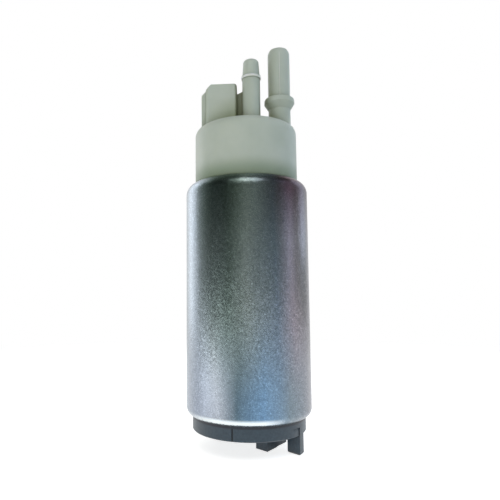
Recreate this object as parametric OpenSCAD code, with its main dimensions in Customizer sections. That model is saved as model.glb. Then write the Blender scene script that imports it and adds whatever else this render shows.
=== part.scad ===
// Electric fuel pump for a car's fuel tank. A rolled steel can holds a turbine stage at the bottom and
// a brushed motor above it. A moulded outlet cap with spigot, nipple and plug socket closes the top.
// Millimetres. The origin is on the can's axis, half way up the can, and +Z points to the outlet.

/* [Can] */
// Outside diameter of the steel can
can_d = 43; // [41:0.5:46]
// Height of the can over both rolled ends
can_h = 80.4; // [76:0.2:96]
// Thickness of the can's steel
can_wall = 1; // [0.8:0.05:1.2]
// Outside radius of the rolled shoulder at the top
top_roll = 4.2; // [3.6:0.1:4.6]
// Outside radius of the rolled shoulder at the bottom
bottom_roll = 3; // [2.7:0.1:3.4]
// How far the top lip reaches in from the can's side
top_lip = 3; // [2.6:0.1:3.2]
// How far the bottom lip reaches in from the can's side
bottom_lip = 2; // [1.6:0.1:2.2]
// Gap between the can and what is pushed into it
can_fit = 0.1; // [0.05:0.01:0.15]

/* [Outlet cap] */
// Height of the cap above the can's top
cap_rise = 20.2; // [16:0.1:26]
// Gap between the top lip and the cap's neck
cap_gap = 0.3; // [0.1:0.05:0.5]
// Rounding of the cap's top edge
cap_round = 3; // [1:0.1:3.4]
// Thickness of the cap's side wall
cap_wall = 2.2; // [1.8:0.1:2.4]
// Thickness of the cap's roof
cap_roof = 3; // [2.4:0.1:4]
// Straight height of the cap's flange inside the can
cap_flange = 8; // [7:0.1:10]
// Thickness of the round cord of the seal
seal_cord = 1.7; // [1.5:0.1:2]
// Height of the seal above the flange's lower face
seal_rise = 4.2; // [3:0.1:4.6]

/* [Outlet spigot] */
// Distance of the spigot's middle in from the cap's side
spigot_inset = 5.75; // [5.6:0.05:6.6]
// Place of the spigot behind the axis
spigot_y = -1; // [-3:0.1:2]
// Outside diameter of the quick-connect spigot
spigot_d = 7.89; // [7.4:0.01:8]
// Bore of the spigot
spigot_bore = 4.6; // [4:0.1:5]
// Height of the spigot above the cap
spigot_rise = 29.1; // [24:0.1:40]
// Diameter of the spigot's tip
spigot_tip_d = 6.6; // [5.6:0.1:6.8]
// Length of the rounded lead-in at the spigot's tip
spigot_lead = 2; // [1.6:0.1:4]
// Diameter of the locking bead
bead_d = 10.8; // [10.4:0.1:11.8]
// Height of the bead's lower edge above the cap
bead_rise = 6.7; // [5:0.1:9]
// Height of the bead
bead_h = 4.3; // [4:0.1:5.5]
// Rounding of the bead's upper edge
bead_round = 1; // [0.4:0.1:1.2]
// Height of the cone under the bead
bead_cone = 2.3; // [1.2:0.1:2.6]
// Fillet at the spigot's foot
spigot_fillet = 0.9; // [0.5:0.1:1.2]

/* [Hose nipple] */
// Place of the nipple to the right of the axis
nipple_x = 2.3; // [1.8:0.1:3]
// Place of the nipple behind the axis
nipple_y = -4; // [-5:0.1:-3]
// Outside diameter of the nipple
nipple_d = 6.4; // [6:0.1:6.6]
// Diameter of the land that holds the hose
land_d = 6.8; // [6.7:0.1:7.4]
// Height of that land
land_h = 1.2; // [1:0.1:2]
// Bore of the nipple
nipple_bore = 3.2; // [2.6:0.1:3.6]
// Height of the nipple above the cap
nipple_rise = 24.6; // [22:0.1:32]
// Length of the tapered lead-in of the nipple
nipple_lead = 6; // [4:0.1:6.8]
// Width of the bevel where the lead-in starts
nipple_bevel = 0.3; // [0.1:0.05:0.35]
// Diameter of the nipple's tip before its rounding
nipple_tip_d = 5.6; // [5.4:0.1:6]
// Rounding of the nipple's tip
nipple_round = 1.3; // [0.6:0.1:1.3]
// Diameter of the metering hole under the nipple
orifice_d = 1; // [0.6:0.1:1.6]

/* [Plug socket] */
// Distance of the socket's middle in from the cap's side
socket_inset = 9.67; // [9.4:0.01:10]
// Place of the socket's middle behind the axis
socket_y = 0.5; // [-1:0.1:2]
// Width of the socket without its side rib
socket_w = 11.35; // [11.2:0.05:12.4]
// Depth of the socket, front to back
socket_depth = 10; // [9:0.1:11]
// Height of the socket above the cap
socket_rise = 16.1; // [14:0.1:20]
// Wall of the socket
socket_wall = 1.3; // [1:0.05:1.35]
// Height of the socket's floor above the cap
socket_floor = 1.5; // [1:0.1:3]
// Rounding of the socket's upright corners
socket_corner = 1.2; // [0.6:0.1:1.6]
// Rounding of the socket's top edge on the side of the nipple
socket_top_round = 0.9; // [0.4:0.1:1.2]
// Bevel at the socket's outer top corner
socket_bevel = 2; // [1:0.1:2.6]
// How far the coding rib stands out of the socket
rib_w = 1.5; // [1:0.1:1.7]
// Depth of the coding rib, front to back
rib_depth = 8; // [5:0.1:8.2]
// Height of the coding rib above the cap
rib_rise = 13.8; // [9:0.1:14]
// Width of a terminal blade
blade_w = 2.8; // [2.2:0.1:3.2]
// Thickness of a terminal blade
blade_t = 0.8; // [0.6:0.1:0.9]
// Distance between the two blades' middles
blade_pitch = 5.2; // [5.1:0.1:5.6]
// Height of the blades above the socket's floor
blade_rise = 8.9; // [7:0.1:9]
// Thickness of the web between socket and nipple
web_t = 1.4; // [1:0.1:2]
// Height of the web at the socket, above the cap
web_low = 12.7; // [8:0.1:13]
// Height of the web at the nipple, above the cap
web_high = 15.4; // [13.2:0.1:16]

/* [Check valve] */
// Bore of the check valve's chamber
check_bore = 6.4; // [6:0.1:6.8]
// Wall of the check valve's chamber
check_wall = 1.5; // [1.2:0.1:1.6]
// Depth of the check valve's chamber below the cap's top
check_depth = 12; // [11:0.1:13]
// Hole in the check valve's seat
check_hole = 3.8; // [3:0.1:4]
// Height of the seat ring
check_seat_h = 2.5; // [2:0.1:3]

/* [Relief valve] */
// Distance of the relief valve's middle in from the cap's side
relief_inset = 6.2; // [6:0.1:6.8]
// Direction of the relief valve from the axis, in degrees
relief_turn = 45; // [40:1:55]
// Diameter of the relief valve's ball
relief_ball_d = 3.8; // [3.4:0.1:4]
// Bore of the relief valve's chamber
relief_bore = 4.8; // [4.6:0.1:5]
// Wall of the relief valve's chamber
relief_wall = 1.4; // [1.2:0.1:1.6]
// Hole under the relief valve's ball
relief_hole = 2.6; // [2.2:0.1:2.8]
// Floor under the relief valve's ball
relief_floor = 1.2; // [1:0.1:2]
// Length of the relief valve's spring
relief_spring_len = 6; // [5:0.1:7]
// Height of the plug that holds the relief valve's spring
relief_plug_h = 2.2; // [1.8:0.1:2.6]
// Hole in that plug
relief_vent = 1.8; // [1.4:0.1:2]

/* [Inlet cover] */
// How far the inlet cover stands out below the can
cover_drop = 4.6; // [3.8:0.1:7]
// Gap between the bottom lip and the inlet cover
cover_gap = 0.1; // [0.05:0.05:0.2]
// Straight height of the inlet cover's flange inside the can
cover_flange = 1.2; // [1:0.1:2]
// Bevel round the inlet cover's lower edge
cover_bevel = 0.3; // [0.2:0.05:0.8]
// Place of the index groove to the left of the axis
groove_left = 5.2; // [3:0.1:8]
// Width of the index groove
groove_w = 0.5; // [0.3:0.1:1]
// Depth of the index groove
groove_depth = 0.4; // [0.2:0.05:0.6]
// How far the inlet port stands out below the cover
port_drop = 3.8; // [2:0.1:5]
// Outside diameter of the inlet port
port_d = 11; // [10.4:0.1:11.6]
// Bore of the inlet port, which takes the strainer's neck
port_bore = 8; // [7:0.1:8.6]
// Direction of the inlet port from the axis, in degrees
port_turn = 140; // [130:1:150]
// Height of the centre boss below the cover
boss_drop = 0.8; // [0.4:0.1:1.2]
// Diameter of the boss in the middle of the cover's underside
boss_d = 9; // [7:0.1:10]
// Depth of the thrust button's seat under the cover's inner face
button_depth = 3; // [2.6:0.1:3.4]
// Diameter of the vapour vent
vent_d = 1.4; // [1:0.1:1.8]

/* [Feet] */
// Turn of the foot block and the tab about the axis, in degrees
feet_turn = -45; // [-50:1:-40]
// Length of the foot block, away from the axis
foot_len = 5.15; // [4.4:0.05:5.6]
// Distance of the foot block's near face from the axis
foot_out = 5.4; // [5:0.1:6]
// Distance of the foot block's end from the axis's plane
foot_side = 2.2; // [1.8:0.1:2.6]
// Width of the foot block's deeper half
foot_front_w = 4.7; // [4:0.1:5]
// Width of the foot block's shallower half
foot_back_w = 5; // [3:0.1:5.2]
// Height of the foot block below the cover
foot_drop = 5.6; // [4:0.1:5.8]
// Rise of the foot block's lower face along both halves
foot_rise = 1.3; // [0.3:0.1:2]
// How far the shallower half stands back from the deeper one
foot_back = 0.3; // [0.2:0.1:0.8]
// Distance of the tab's front face from the axis's plane
tab_side = 4.1; // [3.8:0.1:4.4]
// Thickness of the tab
tab_t = 3; // [2.4:0.1:3.4]
// Distance of the tab's inner edge from the axis
tab_in = 13.7; // [13.4:0.1:15]
// Height of the tab below the cover
tab_drop = 6.3; // [5:0.1:9]
// Bevel on the tab's lower edges
tab_bevel = 0.5; // [0.3:0.1:0.9]
// Width of the pocket beside the tab
pocket_w = 3.5; // [2.6:0.1:3.8]
// Depth of the pocket, in from the cover's side
pocket_depth = 3.4; // [2:0.1:3.6]
// Height of the pocket above the cover's lower face
pocket_h = 2.7; // [1.5:0.1:3]

/* [Turbine] */
// Wall of the spacer ring round the impeller
spacer_wall = 3.35; // [2.8:0.05:4]
// Thickness of the impeller
impeller_t = 3.4; // [3:0.1:4]
// Number of vanes on each side of the impeller
vanes = 36; // [24:1:40]
// Radial length of a vane
vane_len = 3.1; // [2.8:0.1:3.6]
// Width of the pocket between two vanes
vane_pocket = 1.6; // [1.2:0.1:1.8]
// Width of the ring round the vanes
vane_ring = 0.9; // [0.7:0.1:1.1]
// Gap above and below the impeller
face_gap = 0.15; // [0.1:0.05:0.3]
// Gap round the impeller
tip_gap = 0.3; // [0.25:0.05:0.4]
// Half width of the flow channel
channel_r = 1.9; // [1.6:0.1:2]
// Angle that the flow channel covers, in degrees
channel_angle = 300; // [280:1:310]
// Thickness of the pump plate
plate_t = 5; // [4.4:0.1:6]
// Height of the bearing boss on the pump plate
plate_boss_h = 3.5; // [2.5:0.1:4]
// Hole that lets the fuel up into the motor
plate_port = 3.4; // [3:0.1:3.6]

/* [Shaft and bearings] */
// Diameter of the shaft
shaft_d = 4; // [3.6:0.1:4.2]
// Depth of the flat that drives the impeller
shaft_flat = 0.5; // [0.3:0.05:0.7]
// Running clearance of the shaft in its bearings, on the radius
shaft_clearance = 0.03; // [0.02:0.005:0.06]
// Wall of the sintered bearings
bearing_wall = 1.6; // [1.4:0.1:1.7]
// Length of the upper bearing
upper_bearing_len = 5; // [4:0.1:6]
// Thickness of the thrust button
button_t = 1.4; // [1:0.1:1.8]
// Diameter of the thrust button
button_d = 4.4; // [4:0.1:5]

/* [Motor] */
// Thickness of the flux ring
flux_t = 1.6; // [1.2:0.1:2]
// Thickness of the magnets
magnet_t = 3.9; // [3.4:0.1:4.2]
// Angle that one magnet covers, in degrees
magnet_angle = 128; // [110:1:136]
// How far the magnets reach past the armature core at each end
magnet_over = 2; // [0:0.1:3]
// Gap between magnets and armature
air_gap = 0.45; // [0.35:0.05:0.6]
// Number of slots in the armature, and of commutator segments
slots = 8; // [6:2:10]
// Width of an armature tooth
tooth_w = 3.2; // [2.8:0.1:3.4]
// Opening of a slot at the rim
slot_mouth = 2; // [1.6:0.1:2.4]
// Distance of a slot's bottom from the axis
slot_in = 6.4; // [6:0.1:6.8]
// Thickness of the tooth tips at the rim
tooth_tip = 2; // [1.6:0.1:2.4]
// Thickness of the insulators at the core's ends
insulator_t = 0.8; // [0.5:0.1:1.2]
// Height of the winding's end turns
end_turns = 5.4; // [4.6:0.1:6]
// Diameter of the commutator face
commutator_d = 20; // [19.6:0.1:22]
// Thickness of the commutator's carbon segments
segment_t = 1.8; // [1.4:0.1:2.2]
// Slit between two segments
segment_slit = 0.5; // [0.3:0.1:0.7]
// Thickness of the commutator's resin disc
hub_t = 1.2; // [1:0.1:1.6]

/* [Brushes] */
// Thickness of the brush holder's plate
holder_t = 3; // [2.6:0.1:3.6]
// Size of a brush towards the axis
brush_w = 4.4; // [4:0.1:4.6]
// Size of a brush along the commutator
brush_b = 5; // [4.4:0.1:5.2]
// Length of a new brush
brush_len = 11; // [9:0.1:12]
// Distance of a brush from the axis
brush_out = 7; // [6.9:0.05:7.2]
// Direction of the first brush from the axis, in degrees
brush_turn = 110; // [100:1:115]
// How far the brushes reach out below the holder
brush_reach = 1.2; // [1.2:0.1:2]
// Gap between a brush and its tube
brush_gap = 0.1; // [0.08:0.01:0.15]
// Wall of a brush tube
brush_tube_wall = 1; // [0.8:0.1:1.1]
// Length of a brush spring
brush_spring_len = 11.2; // [9:0.1:12]
// Thickness of the brass plates on the brush tubes
brush_cap_t = 1.2; // [0.8:0.1:1.6]
// Length of a ferrite rod
choke_len = 15; // [12:0.1:16]
// Diameter of a ferrite rod
choke_rod_d = 3; // [2.6:0.1:3.2]
// Gap between the chokes and the cap's side wall
choke_gap = 1.1; // [0.8:0.1:1.6]

/* [Hidden] */
$fn = 64;

// Small overlap that joins two shapes of one moulding, and lets a cut run past a face
eps = 0.5;
// Gap between a moving piece and the stop or seat that it rests on
rest_gap = 0.02;
// Gap round the blades in the roof
blade_fit = 0.05;

// Radii of the can, of the pieces pushed into it and of the two necks
can_r = can_d / 2;
inner_r = can_r - can_wall;
cover_r = inner_r - can_fit;
cap_r = can_r - top_lip - cap_gap;
neck_r = can_r - bottom_lip - cover_gap;

// Heights of the outlet side
cap_top = can_h / 2 + cap_rise;
roof_z = cap_top - cap_roof;
flange_z = can_h / 2 - top_roll - cap_flange;
holder_z = flange_z - holder_t;
cavity_r = cap_r - cap_wall;

// Heights of the turbine stage, from the inlet cover's inner face upwards
cover_bottom = -can_h / 2 - cover_drop;
cover_face = -can_h / 2 + bottom_roll + cover_flange;
impeller_z = cover_face + face_gap;
plate_z = impeller_z + impeller_t + face_gap;
plate_top = plate_z + plate_t;
plate_boss_top = plate_top + plate_boss_h;
impeller_r = cover_r - spacer_wall - tip_gap;
channel_mid = impeller_r - vane_ring - vane_len / 2;
port_shift = 2.35;
port_out = channel_mid - port_shift;
port_step = 3;
port_inner_d = 4.4;
port_inner_shift = 0.3;
balance_out = 7;
balance_r = 1.2;
plate_rib_w = 1.2;
plate_rib_h = 1.6;
outlet_turn = port_turn + channel_angle;

// Shaft, its bearings and the thrust button under it
shaft_r = shaft_d / 2;
bearing_bore_r = shaft_r + shaft_clearance;
bearing_r = bearing_bore_r + bearing_wall;
plate_hole_r = shaft_r + 0.5;
lower_bearing_z = plate_z + 1.2;
button_z = cover_face - button_depth;
shaft_low = button_z + button_t + rest_gap;
upper_bearing_z = holder_z + 0.4;
shaft_high = upper_bearing_z + upper_bearing_len - 0.4;
boss_wall = 1;
boss_roof = 1.3;
shaft_bevel = 0.3;

// Commutator and armature, from the brushes down and from the bearing up
comm_face = holder_z - brush_reach;
comm_low = comm_face - segment_t - hub_t;
comm_r = commutator_d / 2;
hub_r = 4.2;
wind_high = comm_low - 0.8;
wind_low = plate_boss_top + 1.2;
core_low = wind_low + end_turns + insulator_t;
core_high = wind_high - end_turns - insulator_t;
washer_t = 0.6;
washer_r = shaft_r + 1.6;

// Motor radii, from the can inwards
flux_in = cover_r - flux_t;
magnet_out = flux_in - 0.05;
magnet_in = magnet_out - magnet_t;
core_r = magnet_in - air_gap;
slot_out = core_r - tooth_tip;
wire_gap = 0.3;

// Spring clips between the magnets
clip_t = 0.4;
clip_play = 0.4;
clip_leg_angle = 2;
clip_leg_gap = 0.8;
clip_end = 2;

// Brush tubes, springs and chokes
tube_w = brush_w + 2 * brush_gap;
tube_b = brush_b + 2 * brush_gap;
brush_top = comm_face + rest_gap + brush_len;
tube_top = brush_top + brush_spring_len;
brush_wire_r = 0.25;
brush_spring_r = 1.7;
brush_lead_r = 0.4;
choke_rod_r = choke_rod_d / 2;
choke_z = flange_z + 0.05;
choke_cup_h = 2.5;
choke_wire_r = 0.4;
choke_lead_r = 0.33;
choke_start = 0.6;
choke_turns = 12;
choke_spots = [160, 200];
choke_out = cavity_r - choke_gap - choke_rod_r - 2 * choke_wire_r;
choke_coil_low = flange_z + choke_cup_h + 0.3;

// Valves in the cap
spigot_x = cap_r - spigot_inset;
check_r = check_bore / 2;
check_top = cap_top - 0.5;
check_low = cap_top - check_depth;
poppet_z = check_low + check_seat_h + rest_gap;
poppet_head_t = 1.2;
poppet_head_r = check_r - 0.45;
poppet_stem_r = 0.9;
poppet_stem_len = 3.6;
check_wire_r = 0.3;
check_spring_r = 1.7;
relief_x = (cap_r - relief_inset) * cos(relief_turn);
relief_y = (cap_r - relief_inset) * sin(relief_turn);
relief_r = relief_bore / 2;
relief_wire_r = 0.3;
relief_spring_r = 1.3;
ball_r = relief_ball_d / 2;
// The ball sits in the rim of its hole, and the first turn of its spring lies on the ball
ball_sink = sqrt(pow(ball_r, 2) - pow(relief_hole / 2, 2));
ball_to_spring = sqrt(pow(ball_r + relief_wire_r, 2) - pow(relief_spring_r, 2)) - relief_wire_r + rest_gap;
relief_plug_z = cap_top - relief_plug_h;
relief_spring_z = relief_plug_z - relief_spring_len;
ball_z = relief_spring_z - ball_to_spring;
relief_seat_z = ball_z - ball_sink - rest_gap;

// Plug socket, whose foot reaches down to the middle of the roof
socket_x = socket_inset - cap_r;
socket_embed = cap_roof / 2;
socket_in_w = socket_w - 2 * socket_wall;
socket_in_d = socket_depth - 2 * socket_wall;
socket_bed = cap_top + socket_floor;
blade_top = socket_bed + blade_rise;
blade_low = roof_z - 3;
blade_tail_w = blade_w + 1.2;

// Springs are swept with this many steps a turn and sides to the wire
spring_steps = 16;
spring_sides = 6;

// Half profile of a round piece from y = 0 up to its length, with its outer end corner rounded
module round_end(r, length, round) {
    square([r, length - round]);
    square([r - round, length]);
    intersection() {
        translate([r - round, length - round]) circle(round);
        square([r, length]);
    }
}

// Ring with flat ends
module ring(outer, inner, low, high) {
    translate([0, 0, low]) difference() {
        cylinder(r = outer, h = high - low);
        translate([0, 0, -eps]) cylinder(r = inner, h = high - low + 2 * eps);
    }
}

// Straight round wire between two points, run on by its own radius at both ends
module wire(a, b, r) {
    way = b - a;
    translate(a) rotate([0, acos(way[2] / norm(way)), atan2(way[1], way[0])]) translate([0, 0, -r])
        cylinder(r = r, h = norm(way) + 2 * r);
}

// Height of a spring's wire after so many turns: one closed turn at each end, open turns between them
function spring_height(turn, turns, wire_r, length) =
    let (pitch = 2.1 * wire_r, open = length - 2 * wire_r - 2 * pitch)
    wire_r + pitch * min(turn, 1) + open * max(0, min(turn - 1, turns - 2)) / (turns - 2)
    + pitch * max(0, turn - turns + 1);

// Coil spring that stands on z = 0, swept round its axis
module coil_spring(mean_r, wire_r, length, turns) {
    steps = turns * spring_steps;
    last = steps * spring_sides;
    points = [
        for (i = [0:steps])
        for (j = [0:spring_sides - 1])
        let (
            turn = 360 * i / spring_steps,
            side = 360 * j / spring_sides,
            r = mean_r + wire_r * cos(side),
            z = spring_height(i / spring_steps, turns, wire_r, length)
        )
        [r * cos(turn), r * sin(turn), z + wire_r * sin(side)]
    ];
    sides = [
        for (i = [0:steps - 1])
        for (j = [0:spring_sides - 1])
        let (a = i * spring_sides + j, b = i * spring_sides + (j + 1) % spring_sides)
        [a, b, b + spring_sides, a + spring_sides]
    ];
    start = [for (j = [spring_sides - 1:-1:0]) j];
    end = [for (j = [0:spring_sides - 1]) last + j];
    polyhedron(points, concat(sides, [start, end]));
}

// Steel can: a tube whose two ends are rolled in over the covers
module can_profile() {
    difference() {
        union() {
            round_end(can_r, can_h / 2, top_roll);
            mirror([0, 1]) round_end(can_r, can_h / 2, bottom_roll);
        }
        round_end(inner_r, can_h / 2 - can_wall, top_roll - can_wall);
        mirror([0, 1]) round_end(inner_r, can_h / 2 - can_wall, bottom_roll - can_wall);
        translate([0, can_h / 2 - top_roll]) square([can_r - top_lip, top_roll + eps]);
        translate([0, -can_h / 2 - eps]) square([can_r - bottom_lip, bottom_roll + eps]);
    }
}

module can() {
    color("silver") rotate_extrude() can_profile();
}

// Outlet cap without its fittings: flange under the can's lip, neck, roof and the groove for the seal
module cap_shell() {
    flange_len = can_h / 2 - can_wall - can_fit - flange_z;
    groove_h = seal_cord + 0.5;
    groove_in = inner_r - seal_cord - 0.05;
    rotate_extrude() difference() {
        union() {
            translate([0, flange_z]) round_end(cover_r, flange_len, top_roll - can_wall - can_fit);
            translate([0, flange_z]) round_end(cap_r, cap_top - flange_z, cap_round);
        }
        translate([0, flange_z - eps]) round_end(cavity_r, roof_z - flange_z + eps, 1.5);
        translate([groove_in, flange_z + seal_rise - groove_h / 2]) square([seal_cord + 1, groove_h]);
    }
}

// Half profile of the spigot: tube, locking bead, rounded lead-in and a fillet at its foot
module spigot_profile() {
    r = spigot_d / 2;
    bead_r = bead_d / 2;
    tip_r = spigot_tip_d / 2;
    // Radius of the arc that leaves the tube upright and ends at the tip
    step = r - tip_r;
    arc = (pow(step, 2) + pow(spigot_lead, 2)) / (2 * step);
    difference() {
        union() {
            translate([0, -eps]) square([r, spigot_rise - spigot_lead + eps]);
            intersection() {
                translate([0, spigot_rise - spigot_lead]) square([r, spigot_lead]);
                translate([r - arc, spigot_rise - spigot_lead]) circle(arc);
            }
            translate([0, bead_rise]) polygon([
                [0, 0], [r, 0], [bead_r, bead_cone], [bead_r, bead_h - bead_round], [0, bead_h - bead_round]
            ]);
            translate([0, bead_rise + bead_cone]) round_end(bead_r, bead_h - bead_cone, bead_round);
            square([r + spigot_fillet, spigot_fillet]);
        }
        translate([r + spigot_fillet, spigot_fillet]) circle(spigot_fillet);
    }
}

// Half profile of the hose nipple: tube, land with a bevelled edge, long taper and a rounded tip
module nipple_profile() {
    r = nipple_d / 2;
    land_r = land_d / 2;
    tip_r = nipple_tip_d / 2;
    start = nipple_rise - nipple_lead;
    translate([0, -eps]) square([r, start + eps]);
    translate([0, start - land_h]) square([land_r, land_h]);
    polygon([
        [0, start], [land_r, start], [land_r - nipple_bevel, start + nipple_bevel],
        [tip_r, nipple_rise - nipple_round], [0, nipple_rise - nipple_round]
    ]);
    translate([0, nipple_rise - 2 * nipple_round]) round_end(tip_r, 2 * nipple_round, nipple_round);
}

// Rectangle with rounded corners, about the origin
module rounded_rectangle(w, h, corner) {
    square([w - 2 * corner, h], center = true);
    square([w, h - 2 * corner], center = true);
    for (x = [-1, 1])
        for (y = [-1, 1])
            translate([x * (w / 2 - corner), y * (h / 2 - corner)]) circle(corner);
}

// Outline of the socket seen from the front: bevelled on its outer side, rounded beside the nipple
module socket_front() {
    w = socket_w;
    h = socket_rise;
    low = -socket_embed;
    difference() {
        translate([-w / 2, low]) square([w, h - low]);
        translate([-w / 2, h]) rotate(45) square(socket_bevel * sqrt(2), center = true);
        translate([w / 2 - socket_top_round, h - socket_top_round]) square(socket_top_round + eps);
    }
    translate([w / 2 - socket_top_round, h - socket_top_round]) circle(socket_top_round);
}

module plug_socket() {
    translate([socket_x, socket_y, cap_top]) {
        intersection() {
            translate([0, 0, -socket_embed]) linear_extrude(socket_rise + socket_embed)
                rounded_rectangle(socket_w, socket_depth, socket_corner);
            translate([0, socket_depth / 2, 0]) rotate([90, 0, 0]) linear_extrude(socket_depth)
                socket_front();
        }
        // Coding rib on the outer side, with a slanted top
        translate([-socket_w / 2 - rib_w, rib_depth / 2, 0]) rotate([90, 0, 0]) linear_extrude(rib_depth)
            polygon([
                [0, -socket_embed], [rib_w + eps, -socket_embed], [rib_w + eps, rib_rise + eps],
                [rib_w, rib_rise], [0, rib_rise - rib_w]
            ]);
    }
}

// Web that ties the nipple to the socket, higher at the nipple
module nipple_web() {
    from = socket_x + socket_w / 2 - eps;
    translate([0, nipple_y + nipple_d / 2, cap_top]) rotate([90, 0, 0]) linear_extrude(web_t)
        polygon([[from, -1], [nipple_x, -1], [nipple_x, web_high], [from, web_low]]);
}

module outlet_cover() {
    color("ivory") difference() {
        union() {
            cap_shell();
            translate([spigot_x, spigot_y, cap_top]) rotate_extrude() spigot_profile();
            translate([nipple_x, nipple_y, cap_top]) rotate_extrude() nipple_profile();
            plug_socket();
            nipple_web();
            // Chambers of the two valves hang from the roof
            translate([spigot_x, spigot_y, check_low])
                cylinder(r = check_r + check_wall, h = roof_z + 1 - check_low);
            translate([relief_x, relief_y, relief_seat_z - relief_floor])
                cylinder(r = relief_r + relief_wall, h = roof_z + 1 - relief_seat_z + relief_floor);
        }
        // Chamber and bore of the outlet
        translate([spigot_x, spigot_y, check_low - eps])
            cylinder(r = check_r, h = check_top - check_low + eps);
        translate([spigot_x, spigot_y, check_top - eps])
            cylinder(d = spigot_bore, h = cap_top + spigot_rise - check_top + 2 * eps);
        // Bore and metering hole of the nipple
        translate([nipple_x, nipple_y, cap_top - 1]) cylinder(d = nipple_bore, h = nipple_rise + 1 + eps);
        translate([nipple_x, nipple_y, roof_z - eps]) cylinder(d = orifice_d, h = cap_roof + eps);
        // Chamber of the relief valve and the hole under its ball
        translate([relief_x, relief_y, relief_seat_z])
            cylinder(r = relief_r, h = cap_top - relief_seat_z + eps);
        translate([relief_x, relief_y, relief_seat_z - relief_floor - eps])
            cylinder(d = relief_hole, h = relief_floor + 2 * eps);
        // Inside of the plug socket, and the slots for the two blades
        translate([socket_x, socket_y, socket_bed]) linear_extrude(socket_rise)
            rounded_rectangle(socket_in_w, socket_in_d, 0.5);
        for (side = [-1, 1])
            translate([socket_x + side * blade_pitch / 2, socket_y, roof_z - eps])
                linear_extrude(socket_bed - roof_z + 2 * eps)
                    square([blade_t + 2 * blade_fit, blade_w + 2 * blade_fit], center = true);
    }
}

// Round cord in the cap's groove, pressed against the can
module cover_seal() {
    color("dimgray") translate([0, 0, flange_z + seal_rise]) rotate_extrude()
        translate([inner_r - seal_cord / 2 - 0.02, 0]) circle(seal_cord / 2);
}

// Brass blade: tapered tip, plain shank through the roof and a wide tail under it
module terminal(side) {
    half = blade_w / 2;
    tail = blade_tail_w / 2;
    tip = half - 0.7;
    color("khaki") translate([socket_x + side * blade_pitch / 2 - blade_t / 2, socket_y, 0])
        rotate([90, 0, 90]) linear_extrude(blade_t) difference() {
            polygon([
                [-tail, blade_low], [tail, blade_low], [tail, roof_z - blade_fit],
                [half, roof_z - blade_fit], [half, blade_top - 1.4], [tip, blade_top],
                [-tip, blade_top], [-half, blade_top - 1.4], [-half, roof_z - blade_fit],
                [-tail, roof_z - blade_fit]
            ]);
            translate([0, blade_low + 1.2]) circle(choke_wire_r);
        }
}

module terminal_positive() {
    terminal(-1);
}

module terminal_negative() {
    terminal(1);
}

// Ring pressed into the foot of the check valve's chamber, with a bevelled upper edge
module check_seat() {
    hole_r = check_hole / 2;
    color("black") translate([spigot_x, spigot_y, check_low]) rotate_extrude() polygon([
        [hole_r, 0], [check_r, 0], [check_r, check_seat_h], [hole_r + 0.4, check_seat_h],
        [hole_r, check_seat_h - 0.4]
    ]);
}

// Mushroom poppet: nose in the seat's hole, head, four guide fins and a stem inside the spring
module check_poppet() {
    nose_r = check_hole / 2 - 0.5;
    fin_r = check_r - 0.1;
    color("darkorange") translate([spigot_x, spigot_y, poppet_z]) {
        rotate_extrude() polygon([
            [0, -0.8], [nose_r - 0.6, -0.8], [nose_r, 0], [poppet_head_r, 0],
            [poppet_head_r, poppet_head_t], [poppet_stem_r, poppet_head_t],
            [poppet_stem_r, poppet_head_t + poppet_stem_len],
            [0, poppet_head_t + poppet_stem_len]
        ]);
        for (turn = [0:90:270])
            rotate(turn) translate([poppet_head_r - 0.4, -0.3, 0.2])
                cube([fin_r - poppet_head_r + 0.4, 0.6, poppet_head_t + 0.8]);
    }
}

module check_spring() {
    low = poppet_z + poppet_head_t + rest_gap;
    color("lightgray") translate([spigot_x, spigot_y, low])
        coil_spring(check_spring_r, check_wire_r, check_top - low, 6);
}

// Ball of the relief valve, on the rim of its hole
module relief_ball() {
    color("silver") translate([relief_x, relief_y, ball_z]) sphere(ball_r);
}

module relief_spring() {
    color("lightgray") translate([relief_x, relief_y, relief_spring_z])
        coil_spring(relief_spring_r, relief_wire_r, relief_spring_len, 6);
}

// Plug with the vent hole, pressed in flush with the cap's top
module relief_retainer() {
    color("khaki") translate([relief_x, relief_y, 0]) difference() {
        ring(relief_r, relief_vent / 2, relief_plug_z, cap_top);
        translate([0, 0, cap_top - 0.5]) cylinder(r1 = relief_vent / 2, r2 = relief_vent / 2 + 0.6, h = 0.51);
    }
}

// Place of a brush, of its tube or of its spring: side is 0 for the left brush and 1 for the right
module at_brush(side) {
    rotate(brush_turn + 180 * side) translate([brush_out, 0, 0]) children();
}

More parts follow.
